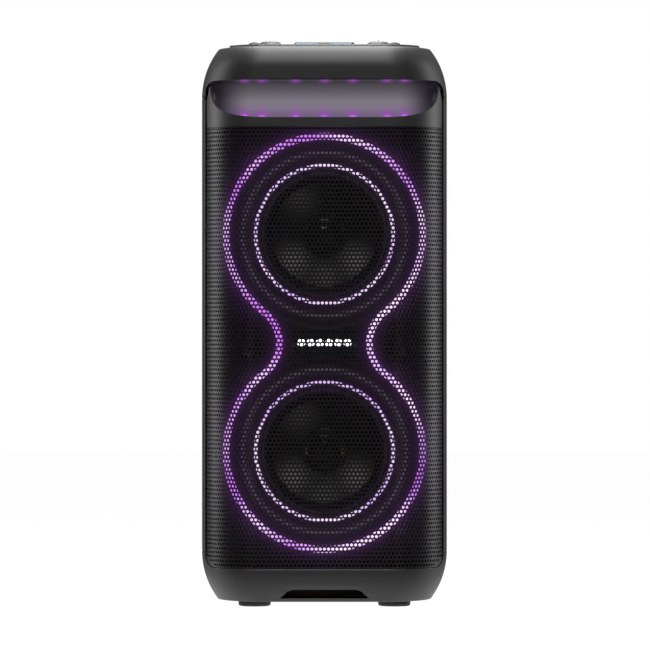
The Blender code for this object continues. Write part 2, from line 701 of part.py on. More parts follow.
def knobs():
    """Knobs on their shafts, and the encoders that hold the shafts. Heights are above the panel."""
    top, under = 5.6 * MM, 0.4 * MM
    board = BOARD_TOP - PANEL_TOP
    shaft_end = board + 3.0 * MM
    shaft, bore, sleeve, can = 3.0 * MM, 3.08 * MM, 4.3 * MM, 8.0 * MM
    crown = [(0, top), (5 * MM, top - 0.3 * MM), (9 * MM, top - 1.1 * MM), (12.4 * MM, top - 2.6 * MM)]
    knob_profile = crown + [(KNOB_RADIUS, top - 4.0 * MM), (KNOB_RADIUS, under), (shaft, under),
                            (shaft, shaft_end), (0, shaft_end)]
    encoder_profile = [(bore, -4.0 * MM), (sleeve, -4.0 * MM), (sleeve, board + 6 * MM), (can, board + 6 * MM),
                       (can, board + GAP), (0, board + GAP), (0, board + 1.2 * MM), (bore, board + 1.2 * MM)]
    for name, x in KNOBS:
        place = (x, KNOB_Y, PANEL_TOP)
        knob = turned(f"{name}_knob", knob_profile, place, BLACK, 0.35, steps=24)
        turned(f"{name}_encoder", encoder_profile, place, STEEL, 0.4, 0.8, steps=24)
        if name == "mic":
            crest = PANEL_TOP + top
            pointer = block((x - 1.0 * MM, KNOB_Y - 4.0 * MM, crest - 1.5 * MM),
                            (x + 1.0 * MM, KNOB_Y + 1.0 * MM, crest + 0.7 * MM))
            combine(knob, new_cutter("mic_knob_pointer", pointer), "UNION")


def buttons():
    """Round buttons, each with a flange under the panel and a stem. Heights are above the panel."""
    radius, flange_radius, stem = BUTTON_RADIUS, BUTTON_RADIUS + 1.5 * MM, 2.5 * MM
    flange_top = CAP_TOP - PANEL_TOP
    flange_under = flange_top - 1.5 * MM
    stem_end = BOARD_TOP + 3.0 * MM - PANEL_TOP
    profile = [(0, 3.4 * MM), (3.4 * MM, 3.0 * MM), (5.8 * MM, 2.0 * MM), (radius, 0.8 * MM),
               (radius, flange_top), (flange_radius, flange_top), (flange_radius, flange_under),
               (stem, flange_under), (stem, stem_end), (0, stem_end)]
    for name, x in BUTTONS:
        turned(name, profile, (x, BUTTON_Y, PANEL_TOP), BLACK, 0.4, steps=20)


def keys():
    stem_half = 2 * MM
    for name, x in KEYS:
        body = slab(key_outline(x, 0, 2.7 * MM), CAP_TOP - 1.0 * MM, PANEL_TOP + 1.2 * MM)
        key = new_part(name, body, BLACK, 0.5)
        stem = block((x - stem_half, KEY_Y - stem_half, BOARD_TOP + 3 * MM),
                     (x + stem_half, KEY_Y + stem_half, CAP_TOP))
        combine(key, new_cutter(name + "_stem", stem), "UNION")


def rectangle_at(half, front, back, height):
    return [(-half, front, height), (half, front, height), (half, back, height), (-half, back, height)]


def display():
    """Raised frame with sloping sides and a lens lying in it."""
    low, high = PANEL_TOP + GAP, PANEL_TOP + 2.8 * MM
    front, back = -131 * MM, -100 * MM
    slope, border = 1.5 * MM, 4 * MM
    frame = loft([rectangle_at(36.7 * MM, front, back, low),
                  rectangle_at(34.0 * MM, front + slope, back - slope, high)])
    housing = new_part("display_housing", frame, BLACK, 0.3)
    half, floor = 31 * MM, high - 1.5 * MM
    bay = block((-half, front + border, floor), (half, back - border, high + THROUGH))
    cut(housing, new_cutter("display_bay", bay))
    lens = block((-half + GAP, front + border + GAP, floor + GAP),
                 (half - GAP, back - border - GAP, high - 0.2 * MM))
    new_part("display_lens", lens, PALE_BLUE, 0.1)


# ---------------------------------------------------------------- inside and back

# (radius, outwards from the rear panel's outer face), in millimetres
PORT = [(42, 1.8), (42, 0.3), (35.8, 0.3), (34.2, -8), (32.4, -20), (32.4, -120),
        (30.2, -120), (30.2, -20), (31.5, -8), (33.0, -0.5), (37.0, 1.8)]


def reflex_port():
    place = (0, REAR_FACE - WALL, PORT_HEIGHT)
    turned("reflex_port", in_metres(PORT), place, BLACK, 0.5, facing="BACK", steps=24)


def socket_box(x, halves, back, front):
    half_x, half_z = halves
    return block((x - half_x, back, IO_HEIGHT - half_z), (x + half_x, front, IO_HEIGHT + half_z))


def io_panel():
    half, low, high = IO_WINDOW
    margin = 5 * MM
    outline = rounded_rectangle(half + margin, low - margin, high + margin, 4 * MM)
    panel = new_part("io_panel", slab(outline, IO_FACE - 3 * MM, IO_FACE, "Y"), BLACK, 0.5)
    for name, x, (half_x, half_z), _, _ in SOCKETS:
        seat = socket_box(x, (half_x + GAP, half_z + GAP), IO_FACE - THROUGH, IO_FACE + THROUGH)
        cut(panel, new_cutter(name + "_seat", seat))
    return panel


def sockets():
    end_wall = 3 * MM
    front = IO_FACE + 1.0 * MM
    for name, x, halves, room_halves, depth in SOCKETS:
        floor = front - depth
        socket = new_part(name, socket_box(x, halves, floor - end_wall - 2 * MM, front), BLACK, 0.4)
        cut(socket, new_cutter(name + "_room", socket_box(x, room_halves, floor, front + THROUGH)))


def electronics():
    """Amplifier board with its heat sink, power supply, battery and the board under the controls."""
    left, right = -55 * MM, 55 * MM
    low, high = 250 * MM, 330 * MM
    board_front, board_back, plate_back, fin_tip = 90 * MM, 92 * MM, 96 * MM, 118 * MM
    bite = 0.1 * MM
    board_box = block((-70 * MM, board_front, 235 * MM), (70 * MM, board_back, 345 * MM))
    board = new_part("amplifier_board", board_box, BOARD_GREEN, 0.5)
    plate = block((left, board_back - bite, low), (right, plate_back, high))
    combine(board, new_cutter("heat_sink_plate", plate), "UNION")
    fin_count, fin_pitch, fin_half = 8, 14 * MM, 1.5 * MM
    for i in range(fin_count):
        x = (i - (fin_count - 1) / 2) * fin_pitch
        fin = block((x - fin_half, plate_back - bite, low), (x + fin_half, fin_tip, high))
        combine(board, new_cutter(f"heat_sink_fin_{i}", fin), "UNION")
    supply = block((-80 * MM, 60 * MM, 75 * MM), (80 * MM, 130 * MM, 120 * MM))
    bevelled(new_part("power_supply", supply, GREY, 0.5, 0.6), 2 * MM)
    battery = block((-75 * MM, -50 * MM, 12 * MM), (75 * MM, 40 * MM, 62 * MM))
    bevelled(new_part("battery_pack", battery, WRAP_BLUE, 0.5), 3 * MM)
    controls = block((-100 * MM, -125 * MM, BOARD_TOP - 1.6 * MM), (100 * MM, -15 * MM, BOARD_TOP))
    new_part("control_board", controls, BOARD_GREEN, 0.5)


# ---------------------------------------------------------------- assembly

cabinet_shell()
top_cap()
base_plinth()
base_grip_pocket()
rear_panel()
feet()
front_grille()
front_trim()
handle_scoop()
handle_lights()
front_baffle()
outer_light_guide()
inner_light_rings()
indicator()
for driver, centre in WOOFERS:
    woofer(driver, centre)
for side, offset in TWEETERS:
    tweeter(side, offset)
control_panel()
knobs()
buttons()
keys()
display()
reflex_port()
io_panel()
sockets()
electronics()
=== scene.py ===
# %% [markdown]
# # A portable party speaker, piece by piece
#
# The working model already holds every solid, joint and size. This lesson dresses it: each
# visible part is remodelled with Blender's own operators at the place that the working model
# gives, and every surface gets a procedural finish.
#
# Everything is in metres, +Z is up, and the speaker's front faces -Y.

# %% Load the working model
import math

import bpy
import numpy as np
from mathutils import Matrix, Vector


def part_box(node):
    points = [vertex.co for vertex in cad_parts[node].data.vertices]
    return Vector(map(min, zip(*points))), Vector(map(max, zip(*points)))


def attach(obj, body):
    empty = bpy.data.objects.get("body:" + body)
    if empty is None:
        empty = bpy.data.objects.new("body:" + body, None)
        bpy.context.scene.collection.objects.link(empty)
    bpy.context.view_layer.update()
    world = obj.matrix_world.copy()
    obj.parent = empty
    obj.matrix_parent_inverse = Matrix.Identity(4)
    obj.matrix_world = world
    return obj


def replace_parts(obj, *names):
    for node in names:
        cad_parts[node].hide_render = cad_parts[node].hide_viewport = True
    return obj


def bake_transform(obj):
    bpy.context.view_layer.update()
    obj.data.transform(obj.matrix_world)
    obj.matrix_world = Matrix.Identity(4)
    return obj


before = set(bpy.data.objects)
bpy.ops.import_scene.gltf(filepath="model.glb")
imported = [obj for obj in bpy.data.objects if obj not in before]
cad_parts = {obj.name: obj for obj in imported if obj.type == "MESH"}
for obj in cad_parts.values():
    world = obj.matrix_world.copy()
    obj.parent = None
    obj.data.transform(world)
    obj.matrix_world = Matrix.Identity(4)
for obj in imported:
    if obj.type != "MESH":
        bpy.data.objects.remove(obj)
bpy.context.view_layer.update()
MM = 0.001
print("nodes in the working model:", len(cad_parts))

# %% [markdown]
# ## Driving sizes
#
# Places are read from the working model, so nothing has to be fitted afterwards. The few
# values that the boxes can't give, such as the bend of the front corners, are the moulded
# shape's own design values.

# %% Sizes read from the frame
shell_low, shell_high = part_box("cabinet_shell")
cap_low, cap_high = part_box("top_cap")
plinth_low, plinth_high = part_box("base_plinth")
grille_low, grille_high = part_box("front_grille")
baffle_low, baffle_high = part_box("front_baffle")
SIDE = cap_high.x
BACK = cap_high.y
CAP_SEAM = cap_low.z
PLINTH_SEAM = plinth_high.z
CAP_TOP = cap_high.z
PLINTH_BOTTOM = plinth_low.z
BAFFLE_FACE = baffle_low.y
WALL = 4.0 * MM
FRONT_BEND = (68.2 * MM, 95.0 * MM)       # across and back, each front corner
REAR_RADIUS = 45.0 * MM
SIDE_ARC = 97.0 * MM
FRONT_ARC_TOP, FRONT_ARC_START = 30.0 * MM, 646.0 * MM
FRONT_ARC_BOTTOM, FRONT_ARC_END = 60.0 * MM, 44.0 * MM
WINDOW_HALF, WINDOW_BOTTOM, WINDOW_TOP = 143.5 * MM, 46.5 * MM, 631.0 * MM
WINDOW_RADIUS = 13.0 * MM
FLAT_HALF = SIDE - FRONT_BEND[0]
print("cabinet", [round(2 * value, 4) for value in (SIDE, BACK)], "seams", round(PLINTH_SEAM, 4),
      round(CAP_SEAM, 4))

# %% [markdown]
# ## Working in edit mode from a script
#
# Blender's mesh operators act on whatever is selected, so the selection is made in code, by
# place or by direction. `choose` opens edit mode with just the wanted vertices, edges or
# faces, and `done` closes it and puts the object's place into its mesh.

# %% Selection helpers
def deselect():
    if bpy.context.object and bpy.context.object.mode != "OBJECT":
        bpy.ops.object.mode_set(mode="OBJECT")
    bpy.ops.object.select_all(action="DESELECT")


def activate(piece):
    deselect()
    bpy.context.view_layer.objects.active = piece
    piece.select_set(True)
    return piece


def named(name):
    """Name the primitive that was just added and put its place into its mesh."""
    piece = bpy.context.object
    piece.name = name
    piece.data.name = name
    bpy.ops.object.transform_apply(location=True, rotation=True, scale=True)
    return piece


def choose(piece, test, kind="VERT"):
    """Enter edit mode with only the elements selected whose middle passes the test."""
    activate(piece)
    mesh = piece.data
    points = mesh.vertices
    for group in (mesh.vertices, mesh.edges, mesh.polygons):
        group.foreach_set("select", [False] * len(group))
    if kind == "VERT":
        for vertex in points:
            vertex.select = test(vertex.co)
    elif kind == "EDGE":
        for edge in mesh.edges:
            first, second = (points[i].co for i in edge.vertices)
            edge.select = test(first, second)
    else:
        for face in mesh.polygons:
            face.select = test(face.center, face.normal)
    bpy.context.tool_settings.mesh_select_mode = (kind == "VERT", kind == "EDGE", kind == "FACE")
    bpy.ops.object.mode_set(mode="EDIT")


def done():
    bpy.ops.object.mode_set(mode="OBJECT")


def all_outwards(piece):
    """Merge doubles and turn every face outwards."""
    choose(piece, lambda co: True)
    bpy.ops.mesh.remove_doubles(threshold=0.01 * MM)
    bpy.ops.mesh.normals_make_consistent(inside=False)
    done()
    return piece


def modify(piece, kind, **settings):
    """Add a modifier, set it and apply it."""
    activate(piece)
    step = piece.modifiers.new(kind.lower(), kind)
    for key, value in settings.items():
        setattr(step, key, value)
    bpy.ops.object.modifier_apply(modifier=step.name)
    return piece


def rounded(piece, width, segments=3, angle=35):
    """Round the sharp edges and shade the rest smooth."""
    modify(piece, "BEVEL", width=width, segments=segments, limit_method="ANGLE",
           angle_limit=math.radians(angle), use_clamp_overlap=False, harden_normals=False)
    return smooth(piece)


def smooth(piece, angle=38):
    activate(piece)
    bpy.ops.object.shade_smooth_by_angle(angle=math.radians(angle))
    return piece


def carve(piece, tool, operation="DIFFERENCE"):
    """Cut a piece with a tool that is thrown away afterwards."""
    modify(piece, "BOOLEAN", object=tool, operation=operation, solver="EXACT")
    bpy.data.objects.remove(tool, do_unlink=True)
    return piece


# %% [markdown]
# ## Camera and light first
#
# A long lens from far away keeps the sides nearly parallel, as in a catalogue picture. The
# stage is a pale floor and a white backdrop. Two tall soft boxes graze the sides, which is
# what draws the bright edge down each bent flank, and a wide one above lights the cap. The
# ground is bright only near the object, which lights the base from below.

# %% Camera
LENS, SENSOR = 300.0, 36.0
VIEW_WIDTH = 0.780
SUBJECT_Y = -0.120
camera_data = bpy.data.cameras.new("camera")
camera_data.lens = LENS
camera_data.sensor_width = SENSOR
camera_data.clip_end = 60
camera = bpy.data.objects.new("camera", camera_data)
bpy.context.scene.collection.objects.link(camera)
distance = VIEW_WIDTH * LENS / SENSOR
camera.location = (0.0007, SUBJECT_Y - distance, 0.338)
camera.rotation_euler = (math.pi / 2, 0, 0)
bpy.context.scene.camera = camera
print("camera distance", round(distance, 2), "m")


# %% Stage and soft boxes
def seen_or_felt(tree, seen, felt):
    """Strength that is one value for the camera and another for the light it throws."""
    path = tree.nodes.new("ShaderNodeLightPath")
    choice = tree.nodes.new("ShaderNodeMapRange")
    if isinstance(felt, float):
        choice.inputs["To Min"].default_value = felt
    else:
        tree.links.new(felt, choice.inputs["To Min"])
    choice.inputs["To Max"].default_value = seen
    tree.links.new(path.outputs["Is Camera Ray"], choice.inputs["Value"])
    return choice.outputs["Result"]


def stage_material(name, color, seen, felt, near, reach):
    """Pale ground that throws most light from within reach of the object."""
    material = bpy.data.materials.new(name)
    material.use_nodes = True
    nodes, links = material.node_tree.nodes, material.node_tree.links
    shader = nodes["Principled BSDF"]
    speckle = nodes.new("ShaderNodeTexNoise")
    speckle.inputs["Scale"].default_value = 3.0
    ramp = nodes.new("ShaderNodeMapRange")
    ramp.inputs["To Min"].default_value = 0.5
    ramp.inputs["To Max"].default_value = 0.6
    links.new(speckle.outputs["Fac"], ramp.inputs["Value"])
    links.new(ramp.outputs["Result"], shader.inputs["Roughness"])
    shader.inputs["Base Color"].default_value = (*color, 1)
    shader.inputs["Emission Color"].default_value = (1, 1, 1, 1)
    place = nodes.new("ShaderNodeTexCoord")
    distance = nodes.new("ShaderNodeVectorMath")
    distance.operation = "LENGTH"
    fade = nodes.new("ShaderNodeMapRange")
    for label, value in (("From Min", reach), ("From Max", 0.3 * reach), ("To Min", felt),
                         ("To Max", near)):
        fade.inputs[label].default_value = value
    links.new(place.outputs["Object"], distance.inputs[0])
    links.new(distance.outputs["Value"], fade.inputs["Value"])
    links.new(seen_or_felt(material.node_tree, seen, fade.outputs["Result"]),
              shader.inputs["Emission Strength"])
    return material


def soft_box(name, place, aim, width, height, power, color=(1, 1, 1)):
    data = bpy.data.lights.new(name, "AREA")
    data.shape = "RECTANGLE"
    data.size, data.size_y = width, height
    data.energy = power
    data.color = color
    light = bpy.data.objects.new(name, data)
    light.location = place
    light.rotation_euler = (Vector(aim) - Vector(place)).to_track_quat("-Z", "Y").to_euler()
    bpy.context.scene.collection.objects.link(light)
    return light


deselect()
bpy.ops.mesh.primitive_plane_add(size=16, location=(0, 0, 0))
floor = named("floor")
floor.data.materials.append(stage_material(
    "pale_floor", color=(0.14, 0.14, 0.14), seen=0.97, felt=0.06, near=1.3, reach=0.34))

world = bpy.data.worlds.new("studio")
world.use_nodes = True
background = world.node_tree.nodes["Background"]
background.inputs["Color"].default_value = (1, 1, 1, 1)
world.node_tree.links.new(seen_or_felt(world.node_tree, 1.0, 0.04), background.inputs["Strength"])
bpy.context.scene.world = world
bpy.context.scene.view_settings.view_transform = "Standard"
WARM = (1.0, 0.72, 0.5)
for side, flank in ((-1, "left"), (1, "right")):
    soft_box(f"{flank}_strip", (side * 1.4, 0.55, 0.45), (0, 0, 0.35), 0.55, 1.8, 10)
soft_box("top_panel", (0, 0.45, 1.75), (0, -0.05, 0.6), 0.7, 1.5, 27)
soft_box("front_panel", (0, -0.75, 1.75), (0, -0.1, 0.55), 0.7, 1.5, 19)
for side, flank in ((-1, "left"), (1, "right")):
    soft_box(f"warm_{flank}", (side * 0.8, -2.2, 0.15), (0, -0.15, 0.6), 0.3, 0.3, 0.7, WARM)

# %% [markdown]
# ## Finishes
#
# Almost everything here is dark plastic, so the difference between parts is in the surface:
# how coarse the moulded grain is, how much it shines, and how the edges have polished. Those
# shared effects are shader node groups, built once. Each material gives them its own values.

# %% Node helpers
def new_group(name, inputs, outputs):
    """Node group with float or vector inputs and the named outputs."""
    group = bpy.data.node_groups.new(name, "ShaderNodeTree")
    for label, kind, value in inputs:
        socket = group.interface.new_socket(label, in_out="INPUT", socket_type=kind)
        if value is not None:
            socket.default_value = value
    for label, kind in outputs:
        group.interface.new_socket(label, in_out="OUTPUT", socket_type=kind)
    return group, group.nodes.new("NodeGroupInput"), group.nodes.new("NodeGroupOutput")


def sum_of(tree, operation, *values):
    """Math node fed by sockets or plain numbers; returns its output."""
    node = tree.nodes.new("ShaderNodeMath")
    node.operation = operation
    for socket, value in zip(node.inputs, values):
        if isinstance(value, (int, float)):
            socket.default_value = value
        else:
            tree.links.new(value, socket)
    return node.outputs[0]


def squared(tree, value):
    return sum_of(tree, "MULTIPLY", value, value)


def bell(tree, *squares):
    """1 in the middle and falling off as a bell curve, from squared distances."""
    return sum_of(tree, "EXPONENT", sum_of(tree, "MULTIPLY", sum_of(tree, "ADD", *squares), -1.0))


def blend_colors(tree, factor, first, second):
    node = tree.nodes.new("ShaderNodeMix")
    node.data_type = "RGBA"
    for socket, value in ((node.inputs[0], factor), (node.inputs[6], first), (node.inputs[7], second)):
        if isinstance(value, (int, float)):
            socket.default_value = value
        elif isinstance(value, tuple):
            socket.default_value = (*value, 1)
        else:
            tree.links.new(value, socket)
    return node.outputs[2]


# %% [markdown]
# ### Moulded grain
#
# A spark-eroded mould leaves a fine, even pebble. Two scales of noise give it: a fine one for
# the pebble itself, and a broad one that lets the shine drift, as real plastic's does.

# %% Grain group
def build_grain():
    group, source, result = new_group("moulded_grain", [
        ("Scale", "NodeSocketFloat", 900.0), ("Depth", "NodeSocketFloat", 0.15),
        ("Roughness", "NodeSocketFloat", 0.45), ("Drift", "NodeSocketFloat", 0.08)],
        [("Roughness", "NodeSocketFloat"), ("Normal", "NodeSocketVector"), ("Tone", "NodeSocketFloat")])
    place = group.nodes.new("ShaderNodeTexCoord")
    pebble = group.nodes.new("ShaderNodeTexVoronoi")
    pebble.feature = "SMOOTH_F1"
    broad = group.nodes.new("ShaderNodeTexNoise")
    broad.inputs["Scale"].default_value = 9.0
    broad.inputs["Detail"].default_value = 4.0
    bump = group.nodes.new("ShaderNodeBump")
    bump.inputs["Distance"].default_value = 0.0002
    links = group.links
    links.new(place.outputs["Object"], pebble.inputs["Vector"])
    links.new(place.outputs["Object"], broad.inputs["Vector"])
    links.new(source.outputs["Scale"], pebble.inputs["Scale"])
    links.new(source.outputs["Depth"], bump.inputs["Strength"])
    links.new(pebble.outputs["Distance"], bump.inputs["Height"])
    swing = sum_of(group, "SUBTRACT", broad.outputs["Fac"], 0.5)
    links.new(sum_of(group, "MULTIPLY_ADD", swing, source.outputs["Drift"], source.outputs["Roughness"]),
              result.inputs["Roughness"])
    links.new(bump.outputs["Normal"], result.inputs["Normal"])
    links.new(broad.outputs["Fac"], result.inputs["Tone"])
    return group


GRAIN = build_grain()

# %% [markdown]
# ### Polished edges and settled dust
#
# Hands polish the corners of a carried box, so convex edges turn a little paler.
# Dust settles on what faces up. Both are masks from the geometry, broken up by noise.

# %% Wear group
def build_wear():
    group, source, result = new_group("edge_wear_and_dust", [
        ("Wear", "NodeSocketFloat", 0.5), ("Dust", "NodeSocketFloat", 0.1)],
        [("Edge", "NodeSocketFloat"), ("Dust", "NodeSocketFloat")])
    shape = group.nodes.new("ShaderNodeNewGeometry")
    place = group.nodes.new("ShaderNodeTexCoord")
    breakup = group.nodes.new("ShaderNodeTexNoise")
    breakup.inputs["Scale"].default_value = 60.0
    breakup.inputs["Detail"].default_value = 6.0
    edge = group.nodes.new("ShaderNodeMapRange")
    edge.inputs["From Min"].default_value = 0.52
    edge.inputs["From Max"].default_value = 0.62
    facing = group.nodes.new("ShaderNodeSeparateXYZ")
    links = group.links
    links.new(place.outputs["Object"], breakup.inputs["Vector"])
    links.new(shape.outputs["Pointiness"], edge.inputs["Value"])
    links.new(shape.outputs["Normal"], facing.inputs["Vector"])
    worn = sum_of(group, "MULTIPLY", edge.outputs["Result"], breakup.outputs["Fac"])
    links.new(sum_of(group, "MULTIPLY", worn, source.outputs["Wear"]), result.inputs["Edge"])
    settled = sum_of(group, "MULTIPLY", sum_of(group, "MAXIMUM", facing.outputs["Z"], 0.0),
                     breakup.outputs["Fac"])
    links.new(sum_of(group, "MULTIPLY", settled, source.outputs["Dust"]), result.inputs["Dust"])
    return group


WEAR = build_wear()

# %% [markdown]
# ### Light scattered on the front
#
# The violet haze that the lit rings throw on the grille and the baffle is painted light, added to
# their colour as glow; the handle's light and shade in the bowl are painted the same way. The haze
# depends only on how far a point is from a guide, so a group works that distance out: to two
# circles, and to the small hollow arcs of the waist.

# %% Halo group
RING_RADII = {"inner": 82.5 * MM, "outer": 118.0 * MM}
WAIST_HALF = 54.0 * MM
RIDGE_RADIUS = 98.2 * MM
ring_middle = sum((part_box(f"woofer_basket_{end}")[low].z for end in ("upper", "lower") for low in (0, 1)),
                  0.0) / 4
ring_step = sum(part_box("woofer_basket_upper")[low].z for low in (0, 1)) / 2 - ring_middle
waist_fillet = (RING_RADII["outer"] ** 2 - WAIST_HALF ** 2
                - ring_step ** 2) / (2 * (WAIST_HALF - RING_RADII["outer"]))
waist_center = WAIST_HALF + waist_fillet


def folded(group):
    """Object coordinates folded onto one quarter: |x| and |height above the middle|, and the raw ones."""
    place = group.nodes.new("ShaderNodeTexCoord")
    parts = group.nodes.new("ShaderNodeSeparateXYZ")
    group.links.new(place.outputs["Object"], parts.inputs["Vector"])
    height = sum_of(group, "SUBTRACT", parts.outputs["Z"], ring_middle)
    return sum_of(group, "ABSOLUTE", parts.outputs["X"]), sum_of(group, "ABSOLUTE", height), parts, height


def gap_to_circle(group, across, up, center, radius):
    first = squared(group, sum_of(group, "SUBTRACT", across, center[0]))
    second = squared(group, sum_of(group, "SUBTRACT", up, center[1]))
    length = sum_of(group, "SQRT", sum_of(group, "ADD", first, second))
    return sum_of(group, "ABSOLUTE", sum_of(group, "SUBTRACT", length, radius))


def fading(group, gap, reach):
    """1 on the light, falling to nothing by a few times the reach."""
    return sum_of(group, "EXPONENT", sum_of(group, "DIVIDE", sum_of(group, "MULTIPLY", gap, -1.0), reach))


def build_halo():
    group, source, result = new_group("ring_halo", [
        ("Reach", "NodeSocketFloat", 0.012), ("Amount", "NodeSocketFloat", 1.0),
        ("Ridge highlight", "NodeSocketFloat", 0.0)], [("Glow", "NodeSocketColor")])
    across, up, _, _ = folded(group)
    large = gap_to_circle(group, across, up, (0.0, ring_step), RING_RADII["outer"])
    small = gap_to_circle(group, across, up, (waist_center, 0.0), waist_fillet)
    inner = gap_to_circle(group, across, up, (0.0, ring_step), RING_RADII["inner"])
    line = sum_of(group, "ADD", sum_of(group, "DIVIDE", across, waist_center),
                  sum_of(group, "DIVIDE", up, ring_step))
    beyond = sum_of(group, "GREATER_THAN", line, 1.0)
    outer = sum_of(group, "ADD", sum_of(group, "MULTIPLY", large, beyond),
                   sum_of(group, "MULTIPLY", small, sum_of(group, "SUBTRACT", 1.0, beyond)))
    reach = source.outputs["Reach"]
    wide = fading(group, outer, reach)
    near = fading(group, inner, sum_of(group, "MULTIPLY", reach, 0.7))
    # Painted violet haze: emission that is strongest at the guides and fades with distance from them.
    haze = sum_of(group, "MULTIPLY", sum_of(group, "MULTIPLY_ADD", near, 0.6, wide),
                  source.outputs["Amount"])
    violet = blend_colors(group, haze, (0.0, 0.0, 0.0), (0.085, 0.016, 0.13))
    # Painted highlight: a grey-lilac line of light along the baffle's ridge circle.
    ridge_highlight = fading(group, gap_to_circle(group, across, up, (0.0, ring_step), RIDGE_RADIUS), 2.2 * MM)
    ridge_highlight = sum_of(group, "MULTIPLY", ridge_highlight, source.outputs["Ridge highlight"])
    color = blend_colors(group, ridge_highlight, violet, (0.085, 0.066, 0.095))
    group.links.new(color, result.inputs["Glow"])
    return group


HALO = build_halo()


# %% Handle glow group
BOWL = (588.0 * MM, 632.0 * MM)
LAMP_XS = (0.0, 34.4 * MM, 75.0 * MM, 96.0 * MM)


def build_handle_glow():
    group, source, result = new_group("handle_glow", [("Amount", "NodeSocketFloat", 1.0)],
                                      [("Glow", "NodeSocketColor")])
    across, _, parts, _ = folded(group)
    # Painted light and shade in the bowl: lighter just above the lip, darker under the ceiling, with
    # painted pools of violet light at each lamp.
    rise = sum_of(group, "DIVIDE", sum_of(group, "SUBTRACT", parts.outputs["Z"], BOWL[0]),
                  BOWL[1] - BOWL[0])
    shade = group.nodes.new("ShaderNodeValToRGB")
    stops = shade.color_ramp.elements
    stops[0].position, stops[0].color = 0.0, (0.13, 0.070, 0.18, 1)
    stops[1].position, stops[1].color = 1.0, (0.030, 0.026, 0.032, 1)
    for position, color in ((0.22, (0.205, 0.160, 0.240)), (0.42, (0.205, 0.185, 0.22)),
                            (0.75, (0.098, 0.090, 0.104))):
        stop = stops.new(position)
        stop.color = (*color, 1)
    group.links.new(rise, shade.inputs["Fac"])
    # Painted shade: the bowl darkens towards its closed ends.
    ends = group.nodes.new("ShaderNodeMapRange")
    ends.interpolation_type = "SMOOTHSTEP"
    for label, value in (("From Min", 131 * MM), ("From Max", 88 * MM), ("To Min", 0.04), ("To Max", 1.0)):
        ends.inputs[label].default_value = value
    group.links.new(across, ends.inputs["Value"])
    nearest = 1.0
    for x in LAMP_XS:
        nearest = sum_of(group, "MINIMUM", sum_of(group, "ABSOLUTE", sum_of(group, "SUBTRACT", across, x)),
                         nearest)
    beside = squared(group, sum_of(group, "DIVIDE", nearest, 6.0 * MM))
    above_lip = squared(group, sum_of(group, "DIVIDE", rise, 0.16))
    below_top = squared(group, sum_of(group, "DIVIDE", sum_of(group, "SUBTRACT", 1.0, rise), 0.05))
    lip_spot, top_spot = bell(group, beside, above_lip), bell(group, beside, below_top)
    spots = sum_of(group, "MINIMUM", sum_of(group, "ADD", lip_spot,
                                            sum_of(group, "MULTIPLY", top_spot, 0.6)), 1.0)
    dimmed = blend_colors(group, ends.outputs["Result"], (0.006, 0.003, 0.009), shade.outputs["Color"])
    lit = blend_colors(group, sum_of(group, "MULTIPLY", spots, source.outputs["Amount"]), dimmed,
                       (0.30, 0.052, 0.43))
    group.links.new(lit, result.inputs["Glow"])
    return group


HANDLE_GLOW = build_handle_glow()


# %% Cone sheen group
def build_sheen():
    """Painted reflections: soft light patches low on each cone, left and right, and a faint one high on the
    left.
    """
    group, source, result = new_group("cone_sheen", [("Amount", "NodeSocketFloat", 1.0)],
                                      [("Glow", "NodeSocketColor")])
    across, _, parts, height = folded(group)
    side = sum_of(group, "SIGN", height)
    local = sum_of(group, "SUBTRACT", height, sum_of(group, "MULTIPLY", side, ring_step))

    def patch(x, z, size, mirrored):
        first = sum_of(group, "DIVIDE", sum_of(group, "SUBTRACT", across if mirrored
                                               else parts.outputs["X"], x), size)
        second = sum_of(group, "DIVIDE", sum_of(group, "SUBTRACT", local, z), size)
        return bell(group, squared(group, first), squared(group, second))

    low = patch(38 * MM, -32 * MM, 17 * MM, True)
    high = sum_of(group, "MULTIPLY", patch(-30 * MM, 42 * MM, 18 * MM, False), 0.35)
    bottom = sum_of(group, "MULTIPLY", patch(0.0, -52 * MM, 17 * MM, True), 0.4)
    total = sum_of(group, "MINIMUM", sum_of(group, "ADD", sum_of(group, "ADD", low, high), bottom), 1.0)
    color = blend_colors(group, sum_of(group, "MULTIPLY", total, source.outputs["Amount"]), (0.0, 0.0, 0.0),
                         (0.080, 0.077, 0.074))
    group.links.new(color, result.inputs["Glow"])
    return group


SHEEN = build_sheen()


